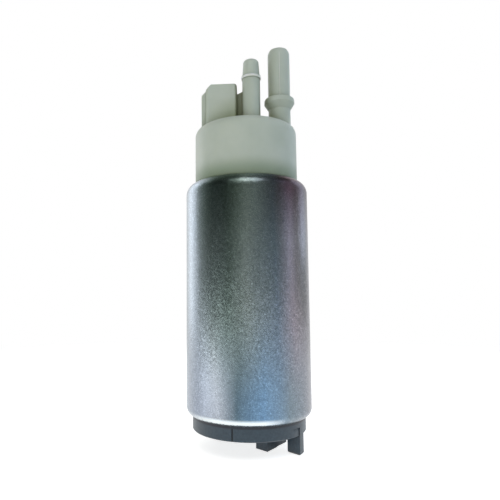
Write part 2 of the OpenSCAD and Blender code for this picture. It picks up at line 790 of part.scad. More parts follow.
// Plate with the two brush tubes, the bearing boss, the sockets of the chokes and windows for the fuel
module brush_holder() {
    boss_top = upper_bearing_z + upper_bearing_len + boss_roof;
    boss_r = bearing_r + boss_wall;
    outer_w = tube_w + 2 * brush_tube_wall;
    outer_b = tube_b + 2 * brush_tube_wall;
    window_in = 8.6;
    window_w = 5.6;
    color("burlywood") difference() {
        union() {
            translate([0, 0, holder_z]) cylinder(r = cover_r, h = holder_t);
            translate([0, 0, holder_z]) cylinder(r = boss_r, h = boss_top - holder_z);
            for (side = [0, 1])
                at_brush(side) translate([-outer_w / 2, -outer_b / 2, holder_z])
                    cube([outer_w, outer_b, tube_top - holder_z]);
            for (spot = choke_spots)
                rotate(spot) translate([choke_out, 0, holder_z])
                    cylinder(r = choke_rod_r + 1.1, h = holder_t + choke_cup_h);
        }
        for (side = [0, 1])
            at_brush(side) translate([-tube_w / 2, -tube_b / 2, holder_z - eps])
                cube([tube_w, tube_b, tube_top - holder_z + 2 * eps]);
        translate([0, 0, holder_z - eps])
            cylinder(r = bearing_r, h = upper_bearing_z + upper_bearing_len - holder_z + eps);
        translate([0, 0, holder_z]) cylinder(r = 0.8, h = boss_top - holder_z + eps);
        for (spot = choke_spots)
            rotate(spot) translate([choke_out, 0, choke_z])
                cylinder(r = choke_rod_r + 0.05, h = choke_cup_h + 1);
        for (window = [[-38, 66], [36, 40], [222, 34]])
            rotate(window[0]) translate([0, 0, holder_z - eps]) rotate_extrude(angle = window[1])
                translate([window_in, 0]) square([window_w, holder_t + 2 * eps]);
    }
}

// Carbon brush, on the commutator's face
module brush(side) {
    color("dimgray") at_brush(side) translate([-brush_w / 2, -brush_b / 2, comm_face + rest_gap])
        cube([brush_w, brush_b, brush_len]);
}

module brush_left() {
    brush(0);
}

module brush_right() {
    brush(1);
}

module brush_spring(side) {
    color("lightgray") at_brush(side) translate([0, 0, brush_top + rest_gap])
        coil_spring(brush_spring_r, brush_wire_r, brush_spring_len - rest_gap, 8);
}

module brush_spring_left() {
    brush_spring(0);
}

module brush_spring_right() {
    brush_spring(1);
}

// Copper pigtail inside the spring, from the brush up to its brass plate
module brush_lead(side) {
    color("chocolate") at_brush(side) translate([0, 0, brush_top + rest_gap])
        cylinder(r = brush_lead_r, h = brush_spring_len - rest_gap);
}

module brush_lead_left() {
    brush_lead(0);
}

module brush_lead_right() {
    brush_lead(1);
}

// Brass plates that close the brush tubes, each with a small peg inside the tube's mouth
module brush_caps() {
    outer_w = tube_w + 2 * brush_tube_wall;
    outer_b = tube_b + 2 * brush_tube_wall;
    color("khaki")
        for (side = [0, 1])
            at_brush(side) translate([-outer_w / 2, -outer_b / 2, tube_top])
                cube([outer_w, outer_b, brush_cap_t]);
}

// Ferrite rods that stand in the holder's sockets
module choke_cores() {
    color("dimgray")
        for (spot = choke_spots)
            rotate(spot) translate([choke_out, 0, choke_z]) cylinder(r = choke_rod_r, h = choke_len);
}

// Copper coil on each rod, with one end up to a terminal and the other over to a brush plate
module choke_coils() {
    coil_r = choke_rod_r + choke_wire_r;
    pitch = 2 * choke_wire_r;
    coil_high = choke_coil_low + choke_turns * pitch;
    plate = tube_top + brush_cap_t + choke_lead_r;
    color("chocolate")
        for (i = [0, 1]) {
            spot = choke_spots[i];
            mid = [choke_out * cos(spot), choke_out * sin(spot), 0];
            rotate(spot) translate([choke_out, 0, 0]) rotate_extrude() difference() {
                union() {
                    translate([0, choke_coil_low + choke_wire_r]) square([coil_r, (choke_turns - 1) * pitch]);
                    for (k = [0:choke_turns - 1])
                        translate([coil_r, choke_coil_low + choke_wire_r + k * pitch]) circle(choke_wire_r);
                }
                translate([0, choke_coil_low - eps]) square([choke_rod_r, choke_turns * pitch + 2 * eps]);
            }
            // Upper end to the tail of a blade
            way = i == 0 ? 1 : -1;
            blade = socket_x + way * blade_pitch / 2;
            tail_y = socket_y + way * (blade_tail_w / 2 + choke_lead_r);
            wire([mid[0] + choke_rod_r + choke_start, mid[1], coil_high - 0.8],
                [blade, tail_y, blade_low + 1], choke_lead_r);
            // Lower end out of the coil, up beside it and over to the brush plate
            brush_dir = brush_turn + 180 * i;
            side = mid[1] + way * (coil_r + choke_wire_r + choke_lead_r + 0.3);
            foot = [mid[0], side, choke_coil_low + pitch];
            knee = [mid[0], side, plate + 1];
            wire([mid[0], mid[1] + way * (choke_rod_r + choke_start), foot[2]], foot, choke_lead_r);
            wire(foot, knee, choke_lead_r);
            wire(knee, [brush_out * cos(brush_dir), brush_out * sin(brush_dir), plate], choke_lead_r);
        }
}

// Sintered bushes, one in the holder's boss and one in the pump plate
module upper_bearing() {
    color("peru") ring(bearing_r, bearing_bore_r, upper_bearing_z, upper_bearing_z + upper_bearing_len);
}

module lower_bearing() {
    color("peru") ring(bearing_r, bearing_bore_r, lower_bearing_z, plate_boss_top - 0.2);
}

// Shaft with bevelled ends and a flat where the impeller sits
module shaft() {
    color("silver") difference() {
        rotate_extrude() polygon([
            [0, shaft_low], [shaft_r - shaft_bevel, shaft_low], [shaft_r, shaft_low + shaft_bevel],
            [shaft_r, shaft_high - shaft_bevel], [shaft_r - shaft_bevel, shaft_high], [0, shaft_high]
        ]);
        translate([shaft_r - shaft_flat, -shaft_r, shaft_low - eps])
            cube([shaft_r, 2 * shaft_r, impeller_z + impeller_t - shaft_low + eps]);
    }
}

// Section of the laminated core: round rim, parallel teeth and a slot between each two
module core_section() {
    half = 180 / slots;
    meet = tooth_w / 2 / sin(half);
    difference() {
        circle(core_r);
        circle(shaft_r);
        for (i = [0:slots - 1])
            rotate(i * 2 * half) {
                polygon([
                    [slot_in, -(slot_in - meet) * tan(half)], [slot_out, -(slot_out - meet) * tan(half)],
                    [slot_out, (slot_out - meet) * tan(half)], [slot_in, (slot_in - meet) * tan(half)]
                ]);
                translate([slot_out - eps, -slot_mouth / 2]) square([tooth_tip + 2 * eps, slot_mouth]);
            }
    }
}

module armature_core() {
    color("slategray") translate([0, 0, core_low]) linear_extrude(core_high - core_low) core_section();
}

module insulator_lower() {
    color("seagreen") translate([0, 0, core_low - insulator_t]) linear_extrude(insulator_t) core_section();
}

module insulator_upper() {
    color("seagreen") translate([0, 0, core_high]) linear_extrude(insulator_t) core_section();
}

// Copper winding: a bundle in each slot, joined by the end turns above and below the core
module windings() {
    half = 180 / slots;
    meet = tooth_w / 2 / sin(half);
    from = slot_in + wire_gap;
    to = slot_out - wire_gap;
    from_half = (from - meet) * tan(half) - wire_gap;
    to_half = (to - meet) * tan(half) - wire_gap;
    turns_in = slot_in - 1;
    color("chocolate") difference() {
        union() {
            for (i = [0:slots - 1])
                rotate(i * 2 * half) translate([0, 0, wind_low + 1]) linear_extrude(wind_high - wind_low - 2)
                    polygon([[from, -from_half], [to, -to_half], [to, to_half], [from, from_half]]);
            rotate_extrude() difference() {
                union() {
                    translate([0, core_high + insulator_t]) round_end(to, end_turns, 2);
                    translate([0, core_low - insulator_t]) mirror([0, 1]) round_end(to, end_turns, 2);
                }
                translate([0, wind_low - eps]) square([turns_in, wind_high - wind_low + 2 * eps]);
            }
        }
        // Hollows that part the coils from each other
        for (i = [0:slots - 1])
            rotate((i + 0.5) * 2 * half)
                for (z = [wind_low, wind_high])
                    translate([turns_in - 1, 0, z]) rotate([0, 90, 0]) cylinder(r = 0.9, h = to);
    }
}

// Resin disc and sleeve that carry the commutator's segments on the shaft
module commutator_hub() {
    color("saddlebrown") {
        ring(comm_r, shaft_r, comm_low, comm_low + hub_t);
        ring(hub_r, shaft_r, comm_low, comm_face);
    }
}

// Carbon segments, each with a hook for its coil ends at the rim
module commutator_segments() {
    low = comm_low + hub_t;
    color("dimgray") difference() {
        union() {
            ring(comm_r, hub_r, low, comm_face);
            for (i = [0:slots - 1])
                rotate((i + 0.5) * 360 / slots) translate([comm_r - eps, -0.8, low])
                    cube([eps + 0.9, 1.6, segment_t / 2]);
        }
        for (i = [0:slots / 2 - 1])
            rotate(i * 360 / slots) translate([-comm_r - 2, -segment_slit / 2, low - eps])
                cube([2 * comm_r + 4, segment_slit, segment_t + 2 * eps]);
    }
}

// Washers on the shaft that take its end play, one above the commutator and one above the lower bearing
module thrust_washers() {
    color("gold") {
        ring(washer_r, shaft_r, comm_face, comm_face + washer_t);
        ring(washer_r, shaft_r, plate_boss_top + 0.3, plate_boss_top + 0.3 + washer_t);
    }
}

// Arc magnet on one side of the armature
module magnet(turn) {
    color("darkslategray") rotate(turn - magnet_angle / 2) rotate_extrude(angle = magnet_angle)
        translate([magnet_in, core_low - magnet_over])
            square([magnet_t, core_high - core_low + 2 * magnet_over]);
}

module magnet_north() {
    magnet(90);
}

module magnet_south() {
    magnet(270);
}

// Spring clips between the magnets: a thin back along the flux ring and two legs against the magnets
module magnet_clips() {
    gap = 180 - magnet_angle;
    low = core_low + clip_end;
    high = core_high - clip_end;
    leg_in = magnet_in + clip_leg_gap;
    color("lightgray")
        for (turn = [0, 180])
            rotate(turn) {
                rotate(-gap / 2 + clip_play) rotate_extrude(angle = gap - 2 * clip_play)
                    translate([magnet_out - clip_t, low]) square([clip_t, high - low]);
                for (side = [-gap / 2 + clip_play, gap / 2 - clip_play - clip_leg_angle])
                    rotate(side) rotate_extrude(angle = clip_leg_angle)
                        translate([leg_in, low]) square([magnet_out - leg_in, high - low]);
            }
}

// Iron ring that closes the magnets' circuit and spaces the pump plate from the brush holder
module flux_ring() {
    color("gray") ring(cover_r, flux_in, plate_top, holder_z);
}

// Half-round flow channel, cut from the inlet port round to the outlet
module flow_channel(face) {
    rotate(port_turn) translate([0, 0, face]) rotate_extrude(angle = channel_angle)
        translate([channel_mid, 0]) circle(channel_r);
}

// Upper half of the pumping chamber: channel below, outlet port through it, bearing boss on top
module pump_plate() {
    color("dimgray") difference() {
        union() {
            translate([0, 0, plate_z]) cylinder(r = cover_r, h = plate_t);
            translate([0, 0, plate_top - eps]) cylinder(r = bearing_r + 1.4, h = plate_boss_h + eps);
            for (turn = [0:60:300])
                rotate(turn) translate([0, -plate_rib_w / 2, plate_top - eps])
                    cube([channel_mid - channel_r, plate_rib_w, eps + plate_rib_h]);
        }
        flow_channel(plate_z);
        rotate(outlet_turn) translate([channel_mid, 0, plate_z - eps])
            cylinder(d = plate_port, h = plate_t + 2 * eps);
        translate([0, 0, plate_z - eps]) cylinder(r = plate_hole_r, h = plate_t + plate_boss_h + 2 * eps);
        translate([0, 0, lower_bearing_z])
            cylinder(r = bearing_r, h = plate_boss_top - lower_bearing_z + eps);
    }
}

module spacer_ring() {
    color("gray") ring(cover_r, impeller_r + tip_gap, cover_face, plate_z);
}

// Impeller: vane pockets in both faces inside a closed ring, balance holes and a D-shaped bore
module impeller() {
    color("tan") translate([0, 0, impeller_z]) difference() {
        cylinder(r = impeller_r, h = impeller_t);
        for (i = [0:vanes - 1])
            for (z = [0, impeller_t])
                rotate(i * 360 / vanes) translate([channel_mid - vane_len / 2, 0, z]) rotate([0, 90, 0])
                    cylinder(d = vane_pocket, h = vane_len);
        for (turn = [0:72:288])
            rotate(turn) translate([balance_out, 0, -eps]) cylinder(r = balance_r, h = impeller_t + 2 * eps);
        difference() {
            translate([0, 0, -eps]) cylinder(r = shaft_r, h = impeller_t + 2 * eps);
            translate([shaft_r - shaft_flat, -shaft_r, -2 * eps])
                cube([shaft_r, 2 * shaft_r, impeller_t + 4 * eps]);
        }
    }
}

// Hardened disc under the shaft
module thrust_button() {
    color("silver") translate([0, 0, button_z]) cylinder(d = button_d, h = button_t);
}

// Foot block, whose lower face rises to a shallower half, and the tab beside its pocket. Their faces are
// square to a frame turned about the axis: x runs out to the front right and y to the back right.
module foot_block() {
    low = cover_bottom - foot_drop;
    step = foot_front_w - foot_side;
    end = step + foot_back_w;
    step_low = low + foot_rise * foot_front_w / (foot_front_w + foot_back_w);
    top = cover_bottom + eps;
    translate([foot_out, 0, 0]) rotate([90, 0, 90]) linear_extrude(foot_len)
        polygon([[-foot_side, low], [step, step_low], [step, top], [-foot_side, top]]);
    translate([foot_out + foot_back, 0, 0]) rotate([90, 0, 90]) linear_extrude(foot_len - 2 * foot_back)
        polygon([[-foot_side, low], [end, low + foot_rise], [end, top], [-foot_side, top]]);
}

module tab() {
    low = cover_bottom - tab_drop;
    intersection() {
        translate([0, 0, low]) rotate_extrude() polygon([
            [0, 0], [neck_r - tab_bevel, 0], [neck_r, tab_bevel], [neck_r, tab_drop + pocket_h + 1],
            [0, tab_drop + pocket_h + 1]
        ]);
        translate([tab_in, tab_side, 0]) rotate([90, 0, 90]) linear_extrude(can_r) polygon([
            [0, low + tab_bevel], [tab_bevel, low], [tab_t - tab_bevel, low], [tab_t, low + tab_bevel],
            [tab_t, cover_bottom + pocket_h + 1], [0, cover_bottom + pocket_h + 1]
        ]);
    }
}

// Inlet cover: flange over the rolled shoulder, neck, flow channel, inlet port, feet and index groove
module inlet_cover() {
    flange_len = cover_face + can_h / 2 - can_wall - can_fit;
    neck_len = cover_face - cover_bottom;
    groove_turn = -90 - asin(groove_left / neck_r);
    color("darkslategray") difference() {
        union() {
            difference() {
                rotate_extrude() {
                    translate([0, cover_face]) mirror([0, 1])
                        round_end(cover_r, flange_len, bottom_roll - can_wall - can_fit);
                    polygon([
                        [0, cover_face], [neck_r, cover_face], [neck_r, cover_bottom + cover_bevel],
                        [neck_r - cover_bevel, cover_bottom], [0, cover_bottom]
                    ]);
                }
                rotate(feet_turn) translate([neck_r - pocket_depth, tab_side - pocket_w, cover_bottom - eps])
                    cube([pocket_depth + eps, pocket_w, pocket_h + eps]);
            }
            rotate(feet_turn) {
                foot_block();
                tab();
            }
            rotate(port_turn) translate([port_out, 0, cover_bottom - port_drop])
                cylinder(d = port_d, h = port_drop + 1);
            translate([0, 0, cover_bottom - boss_drop]) cylinder(d = boss_d, h = boss_drop + 1);
        }
        flow_channel(cover_face);
        // Entry bore for the strainer's neck, and the narrower hole from it up to the channel
        rotate(port_turn) translate([port_out, 0, cover_bottom - port_drop - eps])
            cylinder(d = port_bore, h = port_drop + neck_len - port_step + eps);
        rotate(port_turn) translate([channel_mid - port_inner_shift, 0, cover_face - port_step - eps])
            cylinder(d = port_inner_d, h = port_step + 2 * eps);
        rotate(port_turn + 60) translate([channel_mid, 0, cover_bottom - eps])
            cylinder(d = vent_d, h = neck_len);
        // Pocket for the thrust button and the shaft's end
        translate([0, 0, button_z]) cylinder(d = button_d + 0.06, h = cover_face - button_z + eps);
        rotate(groove_turn) translate([neck_r - groove_depth, -groove_w / 2, cover_bottom - eps])
            cube([groove_depth + eps, groove_w, cover_drop + eps - 0.6]);
    }
}

can();
outlet_cover();
cover_seal();
inlet_cover();
terminal_positive();
terminal_negative();
check_seat();
check_poppet();
check_spring();
relief_retainer();
relief_spring();
relief_ball();
brush_holder();
brush_left();
brush_right();
brush_spring_left();
brush_spring_right();
brush_lead_left();
brush_lead_right();
brush_caps();
choke_cores();
choke_coils();
upper_bearing();
lower_bearing();
shaft();
armature_core();
windings();
insulator_lower();
insulator_upper();
commutator_hub();
commutator_segments();
thrust_washers();
magnet_north();
magnet_south();
magnet_clips();
flux_ring();
pump_plate();
spacer_ring();
impeller();
thrust_button();
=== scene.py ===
import math

import bmesh
import bpy
import numpy as np
from mathutils import Matrix, Vector


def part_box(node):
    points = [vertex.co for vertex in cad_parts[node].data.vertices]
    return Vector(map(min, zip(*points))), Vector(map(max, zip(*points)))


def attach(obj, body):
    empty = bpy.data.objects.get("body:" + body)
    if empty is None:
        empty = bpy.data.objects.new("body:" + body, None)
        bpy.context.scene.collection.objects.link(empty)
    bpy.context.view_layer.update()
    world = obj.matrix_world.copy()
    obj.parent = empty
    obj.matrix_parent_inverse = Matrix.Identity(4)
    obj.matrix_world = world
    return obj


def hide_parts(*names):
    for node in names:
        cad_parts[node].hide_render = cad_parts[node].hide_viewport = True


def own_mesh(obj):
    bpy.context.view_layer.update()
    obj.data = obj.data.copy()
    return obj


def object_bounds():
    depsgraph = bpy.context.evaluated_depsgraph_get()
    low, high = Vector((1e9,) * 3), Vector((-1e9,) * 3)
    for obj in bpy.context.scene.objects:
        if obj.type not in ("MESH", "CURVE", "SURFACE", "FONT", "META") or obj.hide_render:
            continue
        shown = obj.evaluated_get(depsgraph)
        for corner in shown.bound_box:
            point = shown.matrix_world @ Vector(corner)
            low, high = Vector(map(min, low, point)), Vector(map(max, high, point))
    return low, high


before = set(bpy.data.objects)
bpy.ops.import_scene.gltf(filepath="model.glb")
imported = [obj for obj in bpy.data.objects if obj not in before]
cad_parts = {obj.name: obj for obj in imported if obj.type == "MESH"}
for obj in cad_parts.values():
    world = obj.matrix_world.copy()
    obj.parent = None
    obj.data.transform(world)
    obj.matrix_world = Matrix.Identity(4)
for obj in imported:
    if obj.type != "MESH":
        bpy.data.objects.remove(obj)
first_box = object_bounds()
mm = 0.001

# ---------------------------------------------------------------------------
# Camera. The photograph was taken close up from just under the middle of the
# pump, so the spigot leans away and the lower rim of the can shows as an arc.
# The object sits left of the picture's middle, which a small shift gives.
# ---------------------------------------------------------------------------

camera_distance = 176.64 * mm
turned_left = math.radians(4.19)
tipped_up = math.radians(5.39)
rolled_back = math.radians(0.32)
# Blender's lens takes these two as plain numbers of millimetres.
film_width = 36.0
focal_length = 35.64
# The middle of the pump shows at this column and this row of the photograph.
photo_size = 500
axis_column = 210.7
axis_row = 250.2

forward = np.array(
    [
        -math.cos(tipped_up) * math.sin(turned_left),
        math.cos(tipped_up) * math.cos(turned_left),
        math.sin(tipped_up),
    ]
)
level_right = np.array([math.cos(turned_left), math.sin(turned_left), 0.0])
level_up = np.cross(level_right, forward)
right = math.cos(rolled_back) * level_right - math.sin(rolled_back) * level_up
up = math.cos(rolled_back) * level_up + math.sin(rolled_back) * level_right

lens = bpy.data.cameras.new("close_lens")
lens.sensor_width = film_width
lens.lens = focal_length
lens.shift_x = 0.5 - axis_column / photo_size
lens.shift_y = axis_row / photo_size - 0.5
lens.clip_start = 10 * mm
camera = bpy.data.objects.new("camera", lens)
turn = Matrix(np.stack([right, up, -forward], 1).tolist()).to_4x4()
camera.matrix_world = Matrix.Translation((0.0, -camera_distance, 0.0)) @ turn
bpy.context.collection.objects.link(camera)
bpy.context.scene.camera = camera
bpy.context.scene.view_settings.view_transform = "Standard"

# ---------------------------------------------------------------------------
# Studio. White paper under the pump, a white room behind it and a dim room on
# the camera's side, as in the photograph, where the front of the steel shows a
# dark room above and the bright table below.
# ---------------------------------------------------------------------------


def linear(code):
    """Linear RGBA of an sRGB hex code: c / 12.92 where c is up to 0.04045, and
    ((c + 0.055) / 1.055) ** 2.4 above it."""
    c = np.array([int(code[i : i + 2], 16) / 255 for i in (1, 3, 5)])
    c = np.where(c <= 0.04045, c / 12.92, ((c + 0.055) / 1.055) ** 2.4)
    return (*c.tolist(), 1.0)


def add(tree, kind, inputs=None, **settings):
    """One node with its settings and its inputs. An input is a value, or the output
    that it is linked to."""
    made = tree.nodes.new(kind)
    for name, value in settings.items():
        setattr(made, name, value)
    for name, value in (inputs or {}).items():
        if isinstance(value, bpy.types.NodeSocket):
            tree.links.new(value, made.inputs[name])
        else:
            made.inputs[name].default_value = value
    return made


def seen_directly(tree):
    """1 for camera, glossy and transmission rays, so that metal shows the same
    background as the lens."""
    path = add(tree, "ShaderNodeLightPath").outputs
    two = {0: path["Is Camera Ray"], 1: path["Is Glossy Ray"]}
    two = add(tree, "ShaderNodeMath", two, operation="MAXIMUM").outputs[0]
    three = {0: two, 1: path["Is Transmission Ray"]}
    return add(tree, "ShaderNodeMath", three, operation="MAXIMUM").outputs[0]


ambient_level = 0.14
world = bpy.data.worlds.new("white_room")
bpy.context.scene.world = world
world.use_nodes = True
sky = world.node_tree
level = {0: seen_directly(sky), 2: ambient_level, 3: 1.0}
level = add(sky, "ShaderNodeMix", level, data_type="FLOAT").outputs[0]
sky.links.new(level, sky.nodes["Background"].inputs["Strength"])
sky.nodes["Background"].inputs["Color"].default_value = linear("#FFFFFF")

floor_half = 0.9
floor_z = first_box[0][2]
paper_near = 0.12
paper_far = 0.42
paper_lift = 0.78

corners = np.array([[-1, -1], [1, -1], [1, 1], [-1, 1]]) * floor_half
mesh = bpy.data.meshes.new("paper")
mesh.from_pydata([(x, y, floor_z) for x, y in corners.tolist()], [], [(0, 1, 2, 3)])
paper = bpy.data.objects.new("paper", mesh)
bpy.context.collection.objects.link(paper)

# White table paper, matt. Seen directly it is lifted to white and fades into the
# white room, and it keeps the pump's shadow close by.
surface = bpy.data.materials.new("white_paper")
surface.use_nodes = True
tree = surface.node_tree
tree.nodes.clear()
coords = add(tree, "ShaderNodeTexCoord").outputs["Object"]
distance = add(tree, "ShaderNodeVectorMath", {0: coords}, operation="LENGTH")
distance = distance.outputs["Value"]
fade = {"Value": distance, "From Min": paper_near, "From Max": paper_far}
fade = add(tree, "ShaderNodeMapRange", fade, interpolation_type="SMOOTHSTEP").outputs[0]
direct = seen_directly(tree)
fade = {0: fade, 1: direct}
fade = add(tree, "ShaderNodeMath", fade, operation="MULTIPLY").outputs[0]
lift = {0: direct, 1: paper_lift}
lift = add(tree, "ShaderNodeMath", lift, operation="MULTIPLY").outputs[0]
matt = add(tree, "ShaderNodeBsdfDiffuse", {"Color": linear("#F4F4F2")}).outputs[0]
glow = {"Color": linear("#FFFFFF"), "Strength": lift}
glow = add(tree, "ShaderNodeEmission", glow).outputs[0]
lifted = add(tree, "ShaderNodeAddShader", {0: matt, 1: glow}).outputs[0]
white = {"Color": linear("#FFFFFF"), "Strength": 1.0}
white = add(tree, "ShaderNodeEmission", white).outputs[0]
shown = add(tree, "ShaderNodeMixShader", {0: fade, 1: lifted, 2: white}).outputs[0]
# From below the paper is clear, so that the pump's underside can be looked at.
below = add(tree, "ShaderNodeNewGeometry").outputs["Backfacing"]
clear = add(tree, "ShaderNodeBsdfTransparent").outputs[0]
shown = add(tree, "ShaderNodeMixShader", {0: below, 1: shown, 2: clear}).outputs[0]
add(tree, "ShaderNodeOutputMaterial", {"Surface": shown})
mesh.materials.append(surface)

# The dim side of the room: a wall round the camera's side with a ceiling, seen
# by the steel and not by the lens. A dark curtain hangs left of the camera.
room_radius = 0.75
room_top = 1.0
room_from, room_to = math.radians(-104), math.radians(140)
curtain_turn, curtain_half = -52, 26
steps = 96
turns = np.linspace(room_from, room_to, steps + 1)
rim = np.stack([np.sin(turns), -np.cos(turns)], 1) * room_radius
foot_ring = np.column_stack([rim, np.full(steps + 1, floor_z)])
head_ring = np.column_stack([rim, np.full(steps + 1, room_top)])
ceiling_turns = np.linspace(0, 2 * math.pi, steps, endpoint=False)
ceiling = np.stack([np.sin(ceiling_turns), -np.cos(ceiling_turns)], 1) * room_radius
ceiling = np.column_stack([ceiling, np.full(steps, room_top)])
step = np.arange(steps)
wall_faces = np.stack([step, step + 1, step + steps + 2, step + steps + 1], -1)
ceiling_face = 2 * (steps + 1) + step
mesh = bpy.data.meshes.new("dim_room")
mesh.from_pydata(
    np.concatenate([foot_ring, head_ring, ceiling]).tolist(),
    [],
    wall_faces.tolist() + [ceiling_face.tolist()],
)
room = bpy.data.objects.new("dim_room", mesh)
room.visible_camera = False
bpy.context.collection.objects.link(room)

# Grey green distemper, matt as chalk, and black cloth where the curtain hangs.
# Gradient's radial form goes from 0 at the left of the pump's axis through 0.25
# in front and 0.5 at the right to 1 at the left again.
in_front = 0.25
surface = bpy.data.materials.new("room_paint")
surface.use_nodes = True
tree = surface.node_tree
shader = tree.nodes["Principled BSDF"]
shader.inputs["Roughness"].default_value = 0.9
coords = add(tree, "ShaderNodeTexCoord").outputs["Object"]
around = add(tree, "ShaderNodeTexGradient", {"Vector": coords}, gradient_type="RADIAL")
curtain = {
    0: around.outputs["Fac"],
    1: in_front + curtain_turn / 360,
    2: curtain_half / 360,
}
curtain = add(tree, "ShaderNodeMath", curtain, operation="COMPARE").outputs[0]
cloth = {0: curtain, 6: linear("#ADB3A4"), 7: linear("#2A2C2C")}
cloth = add(tree, "ShaderNodeMix", cloth, data_type="RGBA").outputs[2]
tree.links.new(cloth, shader.inputs["Base Color"])
mesh.materials.append(surface)

# Large soft lamps: one above the camera, a bright patch of table left in front,
# three behind and beside the pump, and three fills that the steel doesn't show.
# Each has its place, what it faces (None is the pump's middle), its width and
# height, its power in watts, its tint and whether the steel shows it.
above = Vector((0, 0, 1))
on_paper = floor_z + mm
for lamp_name, place, facing, width, height, power, tint, in_steel in (
    ("above_camera", (0.02, -0.44, 0.50), None, 0.44, 0.34, 1.2, "#FFFFFF", True),
    ("table_glow", (-0.20, -0.15, on_paper), above, 0.24, 0.28, 0.24, "#F6F9FF", True),
    ("low_fill", (-0.22, -0.30, -0.02), None, 0.30, 0.10, 0.26, "#FFFFFF", False),
    ("back_fill", (0.05, 0.55, 0.30), None, 0.90, 0.40, 1.7, "#FFFDF8", False),
    ("tall_left", (-0.46, 0.34, 0.18), None, 0.22, 0.50, 0.4, "#F4F8FF", True),
    ("right_fill", (0.40, -0.14, 0.38), None, 0.30, 0.30, 0.5, "#BBD2FF", False),
    ("tall_right", (0.52, -0.06, 0.22), None, 0.16, 0.45, 0.16, "#D2E2FF", True),
    ("right_behind", (0.46, 0.32, 0.25), None, 0.20, 0.40, 0.4, "#DCEAFF", True),
):
    light = bpy.data.lights.new(lamp_name, "AREA")
    light.shape = "RECTANGLE"
    light.size = width
    light.size_y = height
    light.energy = power
    light.color = linear(tint)[:3]
    lamp = bpy.data.objects.new(lamp_name, light)
    lamp.visible_camera = False
    lamp.visible_glossy = in_steel
    aim = (facing or -Vector(place)).to_track_quat("-Z", "Y").to_matrix().to_4x4()
    lamp.matrix_world = Matrix.Translation(place) @ aim
    bpy.context.collection.objects.link(lamp)

# ---------------------------------------------------------------------------
# Can. Deep drawn steel tube, zinc plated and passivated, rolled in over both covers.
# The zinc is satin with a fine sparkle of crystals; its colour, green grey, blue and
# mauve from side to side, is the film's tint with painted reflections and shade.
# ---------------------------------------------------------------------------


def finish(name, rough, metal=0.0):
    """A new node material. Returns it with its tree, its shader and its Object
    coordinates."""
    made = bpy.data.materials.new(name)
    made.use_nodes = True
    tree = made.node_tree
    shader = tree.nodes["Principled BSDF"]
    shader.inputs["Roughness"].default_value = rough
    shader.inputs["Metallic"].default_value = metal
    return made, tree, shader, add(tree, "ShaderNodeTexCoord").outputs["Object"]


def ramp(tree, factor, *stops):
    """Colour output that runs through stops of (place from 0 to 1, hex code)."""
    made = add(tree, "ShaderNodeValToRGB", {"Fac": factor})
    band = made.color_ramp
    while len(band.elements) < len(stops):
        band.elements.new(0.5)
    for element, (place, code) in zip(band.elements, stops):
        element.position = place
        element.color = linear(code)
    return made.outputs["Color"]


def cloud(tree, coords, grain, detail=2.0, stretch=(1.0, 1.0, 1.0)):
    """Noise from 0 to 1 with spots about grain metres across, longer by 1 / stretch
    along each axis."""
    spots = {0: coords, 1: stretch}
    spots = add(tree, "ShaderNodeVectorMath", spots, operation="MULTIPLY").outputs[0]
    spots = {"Vector": spots, "Scale": 1 / grain, "Detail": detail}
    return add(tree, "ShaderNodeTexNoise", spots).outputs["Fac"]


def dent(tree, shader, height, depth):
    """Raises the surface by height, from 0 to 1, times depth metres."""
    bump = {"Height": height, "Distance": depth, "Strength": 1.0}
    bump = add(tree, "ShaderNodeBump", bump).outputs["Normal"]
    tree.links.new(bump, shader.inputs["Normal"])


def dress(material, *names):
    """Gives these CAD nodes the material."""
    for name in names:
        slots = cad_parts[name].data.materials
        slots.clear()
        slots.append(material)


lower_roll, upper_roll = -37.4 * mm, 37 * mm
satin, burnished = 0.33, 0.22
zinc, tree, shader, coords = finish("passivated_zinc_plate", satin, 1.0)
# Zinc plate under a clear film a few light waves thick. The film tints it as oil
# tints water, by its thickness, which changes round the can and wanders a little.
# The colours round the can also hold painted reflections and painted shade.
film_wander, wander_spot = 0.02, 12 * mm
around = add(tree, "ShaderNodeTexGradient", {"Vector": coords}, gradient_type="RADIAL")
wander = cloud(tree, coords, wander_spot, 2.0, (1.0, 1.0, 0.35))
wander = {"Value": wander, "To Min": -film_wander, "To Max": film_wander}
wander = add(tree, "ShaderNodeMapRange", wander).outputs[0]
around = {0: around.outputs["Fac"], 1: wander}
around = add(tree, "ShaderNodeMath", around, operation="ADD").outputs[0]
# Painted reflections and painted shade mixed with the film's tint, low and high on the
# can.
film_tint_and_painted_light_low = ramp(
    tree,
    around,
    (0.00, "#A0A5AD"),
    (0.11, "#929AA8"),
    (0.17, "#A3A9B2"),
    (0.22, "#5C6F7B"),
    (0.285, "#7191B0"),
    (0.353, "#79868F"),
    (0.458, "#88868C"),
    (0.70, "#99A1AE"),
    (1.00, "#A0A5AD"),
)
film_tint_and_painted_light_high = ramp(
    tree,
    around,
    (0.00, "#A3A8A9"),
    (0.11, "#ACB7C1"),
    (0.16, "#83918F"),
    (0.20, "#74847E"),
    (0.25, "#9CA8A9"),
    (0.317, "#8492A4"),
    (0.37, "#AFA5B0"),
    (0.458, "#9D9EA4"),
    (1.00, "#A3A8A9"),
)
low_film_z, high_film_z = -36 * mm, 0.0
z = add(tree, "ShaderNodeSeparateXYZ", {"Vector": coords}).outputs["Z"]
rise = {"Value": z, "From Min": low_film_z, "From Max": high_film_z}
rise = add(tree, "ShaderNodeMapRange", rise, interpolation_type="SMOOTHSTEP").outputs[0]
film_tint_and_painted_light = {0: rise, 6: film_tint_and_painted_light_low, 7: film_tint_and_painted_light_high}
film_tint_and_painted_light = add(tree, "ShaderNodeMix", film_tint_and_painted_light, data_type="RGBA").outputs[2]
